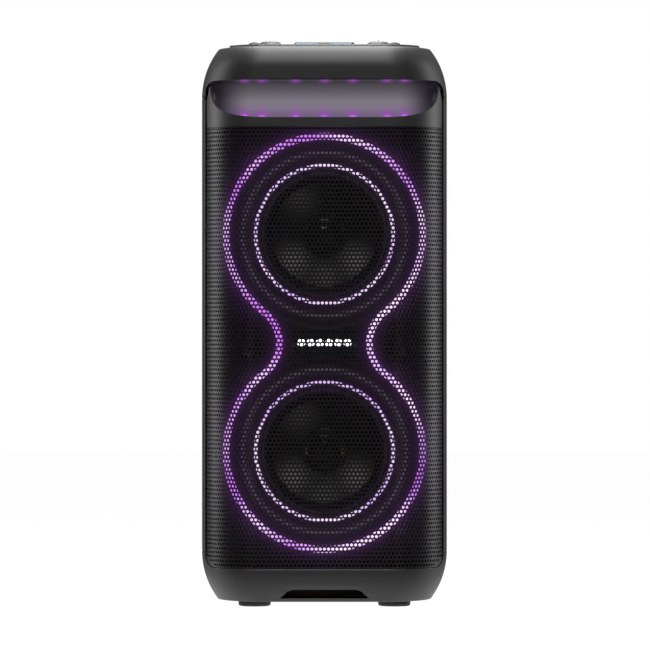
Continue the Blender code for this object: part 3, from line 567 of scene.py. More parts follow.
# %% One maker for the plain finishes
def finish(name, color, roughness, grain=900.0, depth=0.15, drift=0.08, wear=0.35, dust=0.05,
           metallic=0.0, coat=0.0, specular=0.5, glow=None, amount=1.0, reach=0.0, ridge_highlight=0.0):
    """Moulded, painted or rubber finish: a colour with grain, drifting shine, edge wear and dust.

    glow is a group whose colour is added as emission: painted haze, highlights, reflections and shade.
    """
    material = bpy.data.materials.new(name)
    material.use_nodes = True
    tree = material.node_tree
    shader = tree.nodes["Principled BSDF"]
    surface = tree.nodes.new("ShaderNodeGroup")
    surface.node_tree = GRAIN
    for label, value in (("Scale", grain), ("Depth", depth), ("Roughness", roughness), ("Drift", drift)):
        surface.inputs[label].default_value = value
    marks = tree.nodes.new("ShaderNodeGroup")
    marks.node_tree = WEAR
    marks.inputs["Wear"].default_value = wear
    marks.inputs["Dust"].default_value = dust
    darker = tuple(value * 0.86 for value in color)
    paler = tuple(min(value * 1.8 + 0.03, 1) for value in color)
    base = blend_colors(tree, surface.outputs["Tone"], darker, color)
    base = blend_colors(tree, marks.outputs["Edge"], base, paler)
    base = blend_colors(tree, marks.outputs["Dust"], base, (0.35, 0.34, 0.33))
    tree.links.new(base, shader.inputs["Base Color"])
    tree.links.new(surface.outputs["Roughness"], shader.inputs["Roughness"])
    tree.links.new(surface.outputs["Normal"], shader.inputs["Normal"])
    shader.inputs["Metallic"].default_value = metallic
    shader.inputs["Coat Weight"].default_value = coat
    shader.inputs["Specular IOR Level"].default_value = specular
    if glow:
        haze = tree.nodes.new("ShaderNodeGroup")
        haze.node_tree = glow
        haze.inputs["Amount"].default_value = amount
        if reach:
            haze.inputs["Reach"].default_value = reach
            haze.inputs["Ridge highlight"].default_value = ridge_highlight
        tree.links.new(haze.outputs["Glow"], shader.inputs["Emission Color"])
        shader.inputs["Emission Strength"].default_value = 1.0
    return material


CASING = finish("satin_charcoal", (0.026, 0.026, 0.028), 0.47, grain=1400, depth=0.10)
TRIM = finish("satin_trim", (0.036, 0.036, 0.038), 0.42, grain=1400, depth=0.10)
BACK_PLASTIC = finish("coarse_black", (0.016, 0.016, 0.017), 0.55, grain=650, depth=0.45, drift=0.1)
# The bowl's grey and violet look is painted light and shade in its glow; its plastic is nearly black.
SCOOP_PLASTIC = finish("handle_black_with_painted_light", (0.012, 0.011, 0.013), 0.42, grain=1600, depth=0.08, glow=HANDLE_GLOW)
PANEL_PLASTIC = finish("panel_satin", (0.045, 0.045, 0.048), 0.42, grain=1800, depth=0.08)
RUBBER = finish("foot_rubber", (0.014, 0.014, 0.015), 0.72, grain=700, depth=0.3, wear=0.2)
KEY_RUBBER = finish("key_rubber", (0.016, 0.016, 0.017), 0.5, grain=1200, depth=0.15)
KNOB_PLASTIC = finish("knob_satin", (0.018, 0.018, 0.019), 0.33, grain=1500, depth=0.08)
# Painted light: the grille glows with painted violet haze from the rings.
GRILLE_PAINT = finish("grille_powder_coat", (0.010, 0.010, 0.011), 0.36, grain=2200, depth=0.12,
                      metallic=0.1, specular=0.42, glow=HALO, amount=0.30, reach=10 * MM)
# Painted light: the baffle glows with painted violet haze and a painted highlight on its ridge.
BAFFLE_PLASTIC = finish("baffle_matt", (0.008, 0.007, 0.009), 0.5, grain=800, depth=0.2, glow=HALO,
                        amount=1.0, reach=4.5 * MM, ridge_highlight=1.0)
# Painted reflections: the cone's glow adds soft light patches.
CONE_PULP = finish("coated_pulp", (0.005, 0.005, 0.0055), 0.42, grain=420, depth=0.4, drift=0.14,
                   glow=SHEEN)
SURROUND_RUBBER = finish("surround_rubber", (0.005, 0.005, 0.006), 0.75, grain=900, depth=0.12)
GLOSS_BLACK = finish("gloss_black", (0.010, 0.010, 0.011), 0.16, grain=2500, depth=0.02, drift=0.04,
                     coat=0.4)
MARK_PAINT = finish("mark_paint", (0.42, 0.42, 0.43), 0.5, grain=2000, depth=0.05)
TEAL_GLASS = finish("teal_glass", (0.010, 0.034, 0.040), 0.12, grain=2500, depth=0.02, drift=0.04, coat=0.5)
BASKET_PAINT = finish("basket_paint", (0.03, 0.03, 0.032), 0.45, grain=1000, depth=0.2, metallic=0.4)
STEEL = finish("plated_steel", (0.55, 0.55, 0.57), 0.3, grain=1500, depth=0.1, metallic=1.0, wear=0.1)
MAGNET = finish("magnet_plating", (0.22, 0.22, 0.23), 0.42, grain=700, depth=0.2, metallic=0.8)
SILK = finish("coated_silk", (0.030, 0.030, 0.032), 0.35, grain=1800, depth=0.3, coat=0.2)
SPIDER_CLOTH = finish("dipped_cloth", (0.32, 0.20, 0.08), 0.8, grain=1100, depth=0.6)
COPPER = finish("wound_copper", (0.65, 0.32, 0.16), 0.35, grain=1900, depth=0.5, metallic=0.9)
BOARD = finish("solder_resist", (0.015, 0.11, 0.05), 0.35, grain=500, depth=0.2, coat=0.3)
BATTERY = finish("shrink_wrap", (0.010, 0.012, 0.018), 0.5, grain=300, depth=0.15, coat=0.3)
print("finishes", len(bpy.data.materials))

# %% [markdown]
# ### Light that travels in frosted guides
#
# The rings are frosted plastic lit from behind by many small lamps. The glow isn't even: it
# is nearly white where a lamp sits and turns violet between lamps. Slow noise along the guide
# gives the drift, and the emission colour carries it.

# %% Lit finishes
def lit_finish(name, bright, deep, seen, felt, scale=14.0, low=0.38, high=0.62, edge=0.0):
    """Frosted guide that glows: nearly white at the lamps, deeper between them and at its edges."""
    material = bpy.data.materials.new(name)
    material.use_nodes = True
    tree = material.node_tree
    shader = tree.nodes["Principled BSDF"]
    place = tree.nodes.new("ShaderNodeTexCoord")
    noise = tree.nodes.new("ShaderNodeTexNoise")
    noise.inputs["Scale"].default_value = scale
    noise.inputs["Detail"].default_value = 1.0
    spread = tree.nodes.new("ShaderNodeMapRange")
    spread.inputs["From Min"].default_value = low
    spread.inputs["From Max"].default_value = high
    tree.links.new(place.outputs["Object"], noise.inputs["Vector"])
    tree.links.new(noise.outputs["Fac"], spread.inputs["Value"])
    lightness = spread.outputs["Result"]
    if edge:
        parts = tree.nodes.new("ShaderNodeSeparateXYZ")
        tree.links.new(place.outputs["UV"], parts.inputs["Vector"])
        off_middle = sum_of(tree, "ABSOLUTE", sum_of(tree, "SUBTRACT", parts.outputs["Y"], 0.6875))
        core = sum_of(tree, "SUBTRACT", 1.0, sum_of(tree, "MULTIPLY", off_middle, edge))
        lightness = sum_of(tree, "MULTIPLY", sum_of(tree, "MAXIMUM", core, 0.0), lightness)
    color = blend_colors(tree, lightness, deep, bright)
    tree.links.new(color, shader.inputs["Emission Color"])
    tree.links.new(color, shader.inputs["Base Color"])
    tree.links.new(seen_or_felt(tree, seen, felt), shader.inputs["Emission Strength"])
    shader.inputs["Roughness"].default_value = 0.4
    return material


RING_LIGHT = lit_finish("inner_ring_light", (0.95, 0.80, 1.0), (0.72, 0.50, 0.95), 0.92, 1.6)
BAND_LIGHT = lit_finish("outer_band_light", (1.0, 0.86, 1.0), (0.62, 0.20, 0.92), 1.05, 1.8, scale=9.0,
                        edge=3.5)
LAMP_LIGHT = lit_finish("lamp_white", (1.0, 1.0, 1.0), (0.93, 0.97, 1.0), 2.6, 3.0, scale=30.0)
SCREEN_LIGHT = lit_finish("screen_light", (0.40, 0.58, 0.80), (0.32, 0.48, 0.68), 0.7, 0.7, scale=30.0)
VIOLET_SPOT = lit_finish("violet_spot", (0.30, 0.055, 0.46), (0.22, 0.040, 0.36), 1.0, 1.6, scale=60.0)

# %% [markdown]
# ## The cabinet's outside
#
# Seen from above, the cabinet is a box whose rear corners are round and whose front corners
# are long ellipses. Bevel only makes round corners, so the box is squeezed first, bevelled,
# and stretched back, which turns the front corners' circles into ellipses.
#
# The sides then lean in at the top and bottom. The block is bisected at several heights and
# each ring is scaled to the arc that the side follows there.

# %% A blank with the cabinet's shape
def arc_inset(height, low, high, low_radius, high_radius):
    if height > high:
        return high_radius - math.sqrt(high_radius ** 2 - (height - high) ** 2)
    if height < low:
        return low_radius - math.sqrt(low_radius ** 2 - (low - height) ** 2)
    return 0.0


def tapers(height):
    """Scale of the cabinet's outline at a height, across and along."""
    across = arc_inset(height, PLINTH_SEAM, CAP_SEAM, SIDE_ARC, SIDE_ARC)
    along = arc_inset(height, FRONT_ARC_END, FRONT_ARC_START, FRONT_ARC_BOTTOM, FRONT_ARC_TOP)
    return 1 - across / SIDE, 1 - along / BACK


def front_y(x, inset):
    """Depth of the bent front at x, for a surface that lies inset behind the cabinet's face."""
    across, along = FRONT_BEND[0] - inset, FRONT_BEND[1] - inset
    run = min(max(abs(x) - FLAT_HALF, 0.0) / across, 1.0)
    return -BACK + inset + along * (1 - math.sqrt(1 - run * run))


def upright(first, second):
    return abs(first.x - second.x) < 1e-6 and abs(first.y - second.y) < 1e-6


def cabinet_blank(name, low, high, inset, levels, front_steps=28, rear_steps=14):
    """Solid block with the cabinet's outline between two heights, tapered at the given levels."""
    deselect()
    side, back = SIDE - inset, BACK - inset
    bpy.ops.mesh.primitive_cube_add(size=1, location=(0, 0, (low + high) / 2))
    squeeze = (FRONT_BEND[0] - inset) / (FRONT_BEND[1] - inset)
    bpy.context.object.dimensions = (2 * side, 2 * back * squeeze, high - low)
    blank = named(name)
    choose(blank, lambda a, b: upright(a, b) and a.y < 0, "EDGE")
    bpy.ops.mesh.bevel(offset=FRONT_BEND[0] - inset, segments=front_steps, profile=0.5, affect="EDGES")
    bpy.ops.mesh.select_all(action="SELECT")
    bpy.ops.transform.resize(value=(1, 1 / squeeze, 1), center_override=(0, 0, 0))
    done()
    choose(blank, lambda a, b: upright(a, b) and a.y > back - 1e-5, "EDGE")
    bpy.ops.mesh.bevel(offset=REAR_RADIUS - inset, segments=rear_steps, profile=0.5, affect="EDGES")
    done()
    for level in levels:
        choose(blank, lambda co: True)
        bpy.ops.mesh.bisect(plane_co=(0, 0, level), plane_no=(0, 0, 1))
        done()
    for level in [low, *levels, high]:
        across, along = tapers(min(max(level, PLINTH_BOTTOM), CAP_TOP))
        if across < 1 or along < 1:
            choose(blank, lambda co: abs(co.z - level) < 1e-5)
            bpy.ops.transform.resize(value=(across, along, 1), center_override=(0, 0, level))
            done()
    return blank


def evenly(low, high, count):
    return [low + (high - low) * step / count for step in range(1, count)]


# %% [markdown]
# ### The front window
#
# One rounded opening runs through cap, shell and plinth, so the three castings are cut with
# the same tool: a box whose long edges are bevelled.

# %% Window tool and other box-shaped tools
def rounded_box(name, low, high, radius, axis="Y", steps=10):
    """Box between two corners whose edges along one axis are rounded."""
    deselect()
    low, high = Vector(low), Vector(high)
    bpy.ops.mesh.primitive_cube_add(size=1, location=(low + high) / 2)
    bpy.context.object.dimensions = high - low
    tool = named(name)
    pair = [index for index in range(3) if "XYZ"[index] != axis]
    choose(tool, lambda a, b: all(abs(a[i] - b[i]) < 1e-6 for i in pair), "EDGE")
    bpy.ops.mesh.bevel(offset=radius, segments=steps, profile=0.5, affect="EDGES")
    done()
    return tool


def window_tool():
    return rounded_box("window_tool", (-WINDOW_HALF, -0.2, WINDOW_BOTTOM),
                       (WINDOW_HALF, -0.02, WINDOW_TOP), WINDOW_RADIUS)


# %% [markdown]
# ### Shell, cap and plinth
#
# Each casting is a blank with a smaller blank carved out of it, which leaves a wall of even
# thickness, and then the openings are cut. A small bevel on every sharp edge catches the
# light as a moulded edge does. The plinth's hand opening has a sloping border, cut with a
# tool that widens towards the front.

# %% Build the three castings
REAR_OPENING = (96 * MM, 88 * MM, 592 * MM)
EDGE = 0.9 * MM


def finish_piece(piece, material, node, slot, body="cabinet"):
    """Give a piece its finish, let it ride on a body and stand for its plain node."""
    piece.data.materials.clear()
    piece.data.materials.append(material)
    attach(piece, body)
    if node:
        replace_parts(piece, node)
    return piece


def build_shell():
    shell = cabinet_blank("shell_casting", shell_low.z, shell_high.z, 0, [])
    carve(shell, cabinet_blank("room", shell_low.z - 0.02, shell_high.z + 0.02, WALL, []))
    carve(shell, window_tool())
    half, low, high = REAR_OPENING
    carve(shell, rounded_box("rear_tool", (-half, 0.12, low), (half, 0.2, high), 10 * MM))
    return finish_piece(rounded(shell, 0.6 * MM), CASING, "cabinet_shell", "casing")


def build_cap():
    levels = evenly(CAP_SEAM, CAP_TOP, 22)
    cap = cabinet_blank("cap_casting", cap_low.z, CAP_TOP, 0, levels)
    room_levels = evenly(CAP_SEAM, CAP_TOP - WALL, 10)
    carve(cap, cabinet_blank("room", cap_low.z - 0.01, CAP_TOP - WALL, WALL, room_levels))
    carve(cap, window_tool())
    panel_low, panel_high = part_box("control_panel")
    carve(cap, rounded_box("panel_tool", (-107 * MM, panel_low.y + 12 * MM, CAP_TOP - 0.02),
                           (107 * MM, panel_high.y - 8 * MM, CAP_TOP + 0.01), 8 * MM, "Z"))
    return finish_piece(rounded(cap, EDGE), CASING, "top_cap", "casing")


GRIP_WIDTH, GRIP_TOP, GRIP_BOTTOM = 106 * MM, 27.0 * MM, 11.3 * MM
BEYOND = -0.2           # well in front of the cabinet


def grip_tool(back):
    """The hand hollow's opening: a block whose top corners are cut away on a slant."""
    def high(co):
        return co.z > GRIP_BOTTOM + 1 * MM

    deselect()
    middle = (0, (BEYOND + back) / 2, (GRIP_TOP + GRIP_BOTTOM) / 2)
    bpy.ops.mesh.primitive_cube_add(size=1, location=middle)
    bpy.context.object.dimensions = (GRIP_WIDTH, back - BEYOND, GRIP_TOP - GRIP_BOTTOM)
    tool = named("grip_tool")
    choose(tool, high)
    bpy.ops.transform.resize(value=(0.79, 1, 1), center_override=(0, 0, GRIP_TOP))
    done()
    choose(tool, lambda a, b: abs(a.x - b.x) < 1e-6 and high(a) and high(b), "EDGE")
    bpy.ops.mesh.bevel(offset=6 * MM, segments=6, profile=0.5, affect="EDGES")
    done()
    return tool


GRIP_SHARE = 0.65       # height of the opening behind its sloping border


def sized(tool, chosen, value):
    """Scale the chosen corners of a grip tool about the opening's lower edge."""
    choose(tool, chosen)
    bpy.ops.transform.resize(value=value, center_override=(0, 0, GRIP_BOTTOM))
    done()
    return tool


def on_rim(point):
    """On the outer edge of the window, where the grille's lower border meets the plinth."""
    arc = math.hypot(abs(point.x) - WINDOW_HALF + WINDOW_RADIUS, point.z - WINDOW_BOTTOM - WINDOW_RADIUS)
    corner = WINDOW_HALF - WINDOW_RADIUS
    in_corner = abs(point.x) > corner and abs(arc - WINDOW_RADIUS) < 0.2 * MM
    on_line = abs(point.z - WINDOW_BOTTOM) < 0.05 * MM and abs(point.x) < corner + 0.1 * MM
    return abs(point.y - front_y(point.x, 0)) < 0.4 * MM and (in_corner or on_line)


def build_plinth():
    levels = evenly(PLINTH_BOTTOM, PLINTH_SEAM, 20)
    plinth = cabinet_blank("plinth_casting", PLINTH_BOTTOM, plinth_high.z, 0, levels)
    room_levels = evenly(PLINTH_BOTTOM + WALL, PLINTH_SEAM, 10)
    carve(plinth, cabinet_blank("room", PLINTH_BOTTOM + WALL, plinth_high.z + 0.01, WALL, room_levels))
    carve(plinth, window_tool())
    choose(plinth, lambda a, b: on_rim(a) and on_rim(b), "EDGE")
    bpy.ops.mesh.bevel(offset=1.8 * MM, segments=3, profile=0.5, affect="EDGES")
    done()
    carve(plinth, sized(grip_tool(-0.12), lambda co: True, (1, 1, GRIP_SHARE)))
    border = grip_tool(-BACK + 6.5 * MM)
    sized(border, lambda co: co.y > BEYOND + 0.01, (1, 1, GRIP_SHARE))
    carve(plinth, sized(border, lambda co: co.y < BEYOND + 0.01, (1.95, 1, 5.0)))
    return finish_piece(rounded(plinth, EDGE), CASING, "base_plinth", "casing")


for build in (build_shell, build_cap, build_plinth):
    casting = build()
    print(casting.name, len(casting.data.polygons), "faces")

# %% [markdown]
# ## Sheets wrapped over a formula
#
# Three parts of the front are bent sheets with an unusual outline. Each starts as a flat grid
# whose points are then laid where a short formula puts them, like a cloth over a form.

# %% A grid laid over a shape
GRILLE_INSET = grille_low.y + BACK


def laid_grid(name, across, along, shape):
    """Grid of faces whose points go where shape(u, v) says; u and v run from 0 to 1."""
    deselect()
    bpy.ops.mesh.primitive_grid_add(x_subdivisions=across, y_subdivisions=along, size=1)
    sheet = named(name)
    for vertex in sheet.data.vertices:
        vertex.co = shape(vertex.co.x + 0.5, vertex.co.y + 0.5)
    return sheet


def thickened(sheet, thickness):
    """Give a sheet its thickness behind its visible side."""
    return modify(sheet, "SOLIDIFY", thickness=thickness, offset=-1)


# %% [markdown]
# ## The strip above the grille
#
# Its lower edge is straight. Its upper edge is the handle's lip: level in the middle, then
# rising along a squarish curve to a point at each side, so that the strip ends in two horns.

# %% Trim with its horns
LIP_FLAT, LIP_END, LIP_RISE, LIP_HEIGHT = 65.0 * MM, 137.3 * MM, 38.5 * MM, 586.7 * MM
TRIM_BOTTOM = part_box("front_trim")[0].z
TRIM_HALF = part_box("front_trim")[1].x
LIP_POWER = 3.0


def lip_height(x):
    run = min(max(abs(x) - LIP_FLAT, 0.0) / (LIP_END - LIP_FLAT), 1.0)
    return LIP_HEIGHT + LIP_RISE * (1 - (1 - run ** LIP_POWER) ** (1 / LIP_POWER))


def lip_point(u):
    """Point (x, z) on the lip; u runs from 0 in the middle to 1 at the tip of the horn."""
    level = 0.35
    if u < level:
        return u / level * LIP_FLAT, LIP_HEIGHT
    turn = (u - level) / (1 - level) * math.pi / 2
    x = LIP_FLAT + (LIP_END - LIP_FLAT) * math.sin(turn) ** (2 / LIP_POWER)
    z = LIP_HEIGHT + LIP_RISE * (1 - max(math.cos(turn), 0.0) ** (2 / LIP_POWER))
    return x, z


def trim_edge_point(u):
    """Point (x, z) on the trim's straight lower edge and then up its outer side to the tip."""
    corner = 0.62
    if u < corner:
        return u / corner * TRIM_HALF, TRIM_BOTTOM
    climb = (u - corner) / (1 - corner)
    z = TRIM_BOTTOM + climb * (LIP_HEIGHT + LIP_RISE - TRIM_BOTTOM)
    lean = max(climb - 0.5, 0.0) * 2
    return TRIM_HALF - (TRIM_HALF - LIP_END) * lean ** 1.7, z


def trim_shape(u, v):
    reach = 2 * u - 1
    low, high = trim_edge_point(abs(reach)), lip_point(abs(reach))
    x = low[0] + (high[0] - low[0]) * v
    z = low[1] + (high[1] - low[1]) * v
    return math.copysign(x, reach), front_y(x, GRILLE_INSET), z


trim = thickened(all_outwards(laid_grid("trim_strip", 120, 8, trim_shape)), 3.0 * MM)
finish_piece(rounded(trim, 0.5 * MM, 3, 50), TRIM, "front_trim", "casing")
print("trim", len(trim.data.polygons), "faces")

# %% [markdown]
# ## The hollow under the cap
#
# The hand goes into a bowl: its floor runs back from the lip, sweeps up and meets a level
# ceiling. Towards the ends the bowl gets shallower until it closes against the bent front.

# %% Handle bowl
SCOOP_DEPTH = 60.0 * MM


def scoop_shape(u, v):
    share = math.sin(math.pi / 2 * (2 * u - 1))
    x = (LIP_END + 0.8 * MM) * share
    low, ceiling = lip_height(x), WINDOW_TOP + 0.3 * MM
    skin = front_y(x, GRILLE_INSET + 3.1 * MM)
    depth = (SCOOP_DEPTH - BACK - skin) * math.sqrt(max(1 - abs(share) ** 14, 0.0)) + 1 * MM
    rise = ceiling - low
    roll = min(rise * 0.17, depth * 0.8)
    if v < 0.6:
        turn = v / 0.6 * math.pi / 2
        y, z = skin + depth * math.sin(turn) ** 0.8, low + rise * 0.72 * (1 - math.cos(turn))
    elif v < 0.85:
        turn = (v - 0.6) / 0.25 * math.pi / 2
        y, z = skin + depth - roll * (1 - math.cos(turn)), low + rise * (0.72 + 0.28 * math.sin(turn))
    else:
        back = skin + depth - roll
        y, z = back + (v - 0.85) / 0.15 * (skin - back), ceiling
    return x, y, z


scoop = laid_grid("handle_bowl", 96, 40, scoop_shape)
all_outwards(scoop)
if any(abs(face.center.x) < 20 * MM and face.normal.y > 0.5 for face in scoop.data.polygons):
    choose(scoop, lambda co: True)
    bpy.ops.mesh.flip_normals()
    done()
thickened(scoop, 2.2 * MM)
finish_piece(smooth(scoop, 50), SCOOP_PLASTIC, "handle_scoop", "scoop_plastic")
print("bowl", len(scoop.data.polygons), "faces")

# %% [markdown]
# ## Seven lamps above and below the hand
#
# Each row is seven small flattened lenses, each a squashed sphere that sits
# where the row follows the bend.

# %% Handle lamps
LAMP_SPOTS = [side * x for x in LAMP_XS[::-1] for side in (-1, 1) if x] + [0.0]


def lens(name, place, size):
    deselect()
    bpy.ops.mesh.primitive_uv_sphere_add(segments=24, ring_count=12, radius=1, location=place,
                                         scale=[value * MM for value in size])
    return finish_piece(smooth(named(name), 60), VIOLET_SPOT, None, "light_guide")


for number, x in enumerate(LAMP_SPOTS):
    behind_lip = front_y(x, GRILLE_INSET + 3.0 * MM) + 2.2 * MM
    lip_lamp = lens(f"lip_lamp_{number}", (x, behind_lip, lip_height(x) - 0.6 * MM), (5.4, 1.7, 2.6))
    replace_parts(lip_lamp, "handle_light_lower")
    top_place = (x, front_y(x, WALL) + 2.6 * MM, WINDOW_TOP + 0.5 * MM)
    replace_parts(lens(f"top_lamp_{number}", top_place, (4.6, 2.0, 1.4)), "handle_light_upper")
print("lamps at", sorted(round(1000 * x, 1) for x in LAMP_SPOTS), "mm")

# %% [markdown]
# ## Perforated grille
#
# The steel sheet has staggered holes about five millimetres apart. The whole pattern comes
# from one grid: in every row the cell walls at alternate half steps are dissolved, which
# leaves bricks. Each brick is inset, its inner loop is rounded to a hexagon and opened, and
# the finished flat sheet is then wrapped round the bend by arc length, so that the holes keep
# their spacing over the corner. The sheet is made as two, split on a row's edge.

# %% Wrap by arc length
HOLE_PITCH = 4.97 * MM
ROW_PITCH = 4.98 * MM
HOLE_RADIUS = 1.86 * MM
SHEET = 1.0 * MM
GRILLE_HALF = grille_high.x
RIM = 1.0 * MM


def arc_table(inset, half, steps=600):
    """Arc length and x along the bent front, from the middle outwards."""
    xs = [half * step / steps for step in range(steps + 1)]
    ys = [front_y(x, inset) for x in xs]
    lengths = np.concatenate([[0], np.cumsum(np.hypot(np.diff(xs), np.diff(ys)))])
    return lengths, np.array(xs)


ARC, ARC_X = arc_table(GRILLE_INSET, GRILLE_HALF)
ARC_LENGTH = float(ARC[-1])
COLUMNS = int(2 * (ARC_LENGTH - RIM) / HOLE_PITCH) // 2 * 2 - 1
ROWS = math.ceil((grille_high.z - grille_low.z - RIM) / ROW_PITCH)
LAST_ROW = grille_low.z + RIM + (ROWS - 1) * ROW_PITCH
LAST_SQUEEZE = (grille_high.z - LAST_ROW) / ROW_PITCH
print("sheet", round(2 * ARC_LENGTH, 4), "m round the bend,", COLUMNS, "by", ROWS, "holes")


# %% One half of the grille
def in_rounded_corner(x, z, margin):
    """How far a point lies outside the round lower corner; negative is inside."""
    center_x, center_z = GRILLE_HALF - WINDOW_RADIUS, grille_low.z + WINDOW_RADIUS
    if abs(x) < center_x or z > center_z:
        return -1.0
    return math.hypot(abs(x) - center_x, z - center_z) - (WINDOW_RADIUS - margin)


def perforated(name, first_row, rows, bottom_rim):
    width, height = COLUMNS * HOLE_PITCH, rows * ROW_PITCH
    low = grille_low.z + RIM + first_row * ROW_PITCH
    deselect()
    bpy.ops.mesh.primitive_grid_add(x_subdivisions=2 * COLUMNS, y_subdivisions=rows, size=1,
                                    location=(0, 0, low + height / 2), rotation=(math.pi / 2, 0, 0))
    bpy.context.object.dimensions = (width, height, 0)
    sheet = named(name)
    half_pitch = HOLE_PITCH / 2

    def spare_wall(a, b):
        if abs(a.x - b.x) > 1e-6 or abs(abs(a.x) - width / 2) < 1e-6:
            return False
        column = round((a.x + width / 2) / half_pitch)
        row = first_row + math.floor(((a.z + b.z) / 2 - low) / ROW_PITCH)
        return (column + row) % 2 == 1

    choose(sheet, spare_wall, "EDGE")
    bpy.ops.mesh.dissolve_edges(use_verts=False)
    done()

    def takes_hole(center, _):
        x = float(np.interp(abs(center.x), ARC, ARC_X))
        return in_rounded_corner(x, center.z, 3.2 * MM) < 0

    whole = HOLE_PITCH * ROW_PITCH * 0.9
    keep = {face.index for face in sheet.data.polygons if face.area > whole}
    choose(sheet, takes_hole, "FACE")
    done()
    for face in sheet.data.polygons:
        face.select = face.select and face.index in keep
    bpy.ops.object.mode_set(mode="EDIT")
    bpy.ops.mesh.inset(thickness=0.8 * MM, use_individual=True)
    done()
    points = sheet.data.vertices
    for face in sheet.data.polygons:
        if face.select:
            center = face.center.copy()
            for index in face.vertices:
                offset = points[index].co - center
                side = 0 if abs(offset.x) < 0.2 * MM else math.copysign(math.cos(math.pi / 6), offset.x)
                rise = math.copysign(1.0 if side == 0 else 0.5, offset.z)
                points[index].co = center + Vector((side, 0, rise)) * HOLE_RADIUS
    bpy.ops.object.mode_set(mode="EDIT")
    bpy.ops.mesh.delete(type="ONLY_FACE")
    done()
    for vertex in points:
        length, z = vertex.co.x, vertex.co.z
        if abs(abs(length) - width / 2) < 1e-6:
            length = math.copysign(ARC_LENGTH, length)
        z -= bottom_rim if abs(z - low) < 1e-6 else 0
        z = LAST_ROW + (z - LAST_ROW) * LAST_SQUEEZE if z > LAST_ROW else z
        x = float(np.interp(abs(length), ARC, ARC_X))
        outside = in_rounded_corner(x, z, 0)
        if outside > 0:
            center = Vector((GRILLE_HALF - WINDOW_RADIUS, 0, grille_low.z + WINDOW_RADIUS))
            spot = center + (Vector((x, 0, z)) - center).normalized() * WINDOW_RADIUS
            x, z = spot.x, spot.z
        y = front_y(x, GRILLE_INSET)
        vertex.co = (math.copysign(x, length), y, z)
    modify(sheet, "SOLIDIFY", thickness=SHEET, offset=-1)
    return finish_piece(smooth(sheet, 30), GRILLE_PAINT, None, "grille_metal")


half_rows = ROWS // 2
lower_grille = perforated("grille_lower_half", 0, half_rows, RIM)
upper_grille = perforated("grille_upper_half", half_rows, ROWS - half_rows, 0)
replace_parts(lower_grille, "front_grille")
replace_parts(upper_grille, "front_grille")
for sheet in (lower_grille, upper_grille):
    print(sheet.name, sum(len(face.vertices) - 2 for face in sheet.data.polygons), "triangles")

# %% [markdown]
# ## Turned parts
#
# Rings, cones, domes and knobs are turned: a circle is added where the profile starts, and
# every further point of the profile extrudes it, scales it and pushes it along the axis.

# %% Turn a profile, or bore a hole
FORWARD = Vector((0, -1, 0))
UPWARD = Vector((0, 0, 1))


def turn(name, profile, center, axis=FORWARD, steps=96, closed=False):
    """Turn (radius, distance along the axis) points, given in millimetres, about the axis."""
    points = [(radius * MM, along * MM) for radius, along in profile]
    center = Vector(center)
    radius, along = points[0]
    deselect()
    bpy.ops.mesh.primitive_circle_add(vertices=steps, radius=radius, location=center + axis * along,
                                      rotation=axis.to_track_quat("Z", "Y").to_euler(),
                                      fill_type="NOTHING" if closed else "NGON")
    piece = named(name)
    choose(piece, lambda co: True)
    for next_radius, next_along in points[1:]:
        bpy.ops.mesh.extrude_region()
        scale = next_radius / radius
        bpy.ops.transform.resize(value=(scale, scale, scale), center_override=center + axis * along)
        bpy.ops.transform.translate(value=axis * (next_along - along))
        radius, along = next_radius, next_along
    done()
    return all_outwards(piece)


def bored(piece, place, radius, steps, depth=0.05, axis=FORWARD):
    """Round hole through a piece, from front to back unless another axis is given."""
    deselect()
    bpy.ops.mesh.primitive_cylinder_add(vertices=steps, radius=radius, depth=depth, location=place,
                                        rotation=(math.pi / 2 if axis == FORWARD else 0, 0, 0))
    return carve(piece, named("bore"))


def bent_line(points, steps):
    """Smooth a row of profile points with a spline through them."""
    rows = [points[0]] + list(points) + [points[-1]]
    result = []
    for a, b, c, d in zip(rows, rows[1:], rows[2:], rows[3:]):
        for step in range(steps):
            t = step / steps
            result.append(tuple(0.5 * (2 * b[i] + (c[i] - a[i]) * t
                                       + (2 * a[i] - 5 * b[i] + 4 * c[i] - d[i]) * t * t
                                       + (3 * b[i] - a[i] - 3 * c[i] + d[i]) * t ** 3) for i in (0, 1)))
    return result + [points[-1]]


def middle_of(node):
    low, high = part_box(node)
    return (low + high) / 2


DRIVERS = {end: Vector((0, BAFFLE_FACE, middle_of(f"woofer_basket_{end}").z)) for end in ("upper", "lower")}
MIDDLE = (DRIVERS["upper"].z + DRIVERS["lower"].z) / 2
TWEETER_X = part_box("tweeter_body_right")[1].x - 21.6 * MM
print("drivers at", {end: round(place.z, 4) for end, place in DRIVERS.items()}, "middle", round(MIDDLE, 4))

# %% [markdown]
# ## Baffle with two dished rings
#
# The baffle is a flat board. Round each woofer it is dished, with one raised ridge halfway up
# the slope; the light on it from the rings is painted as a highlight in the baffle's finish.

# %% Baffle board
board = rounded_box("baffle_board", baffle_low, baffle_high, 12 * MM, "Y")
for place in DRIVERS.values():
    bored(board, place, 113.5 * MM, 96)
for side in (-1, 1):
    bored(board, (side * TWEETER_X, BAFFLE_FACE, MIDDLE), 17.4 * MM, 48)
finish_piece(rounded(board, 0.8 * MM, 2), BAFFLE_PLASTIC, "front_baffle", "baffle_plastic")

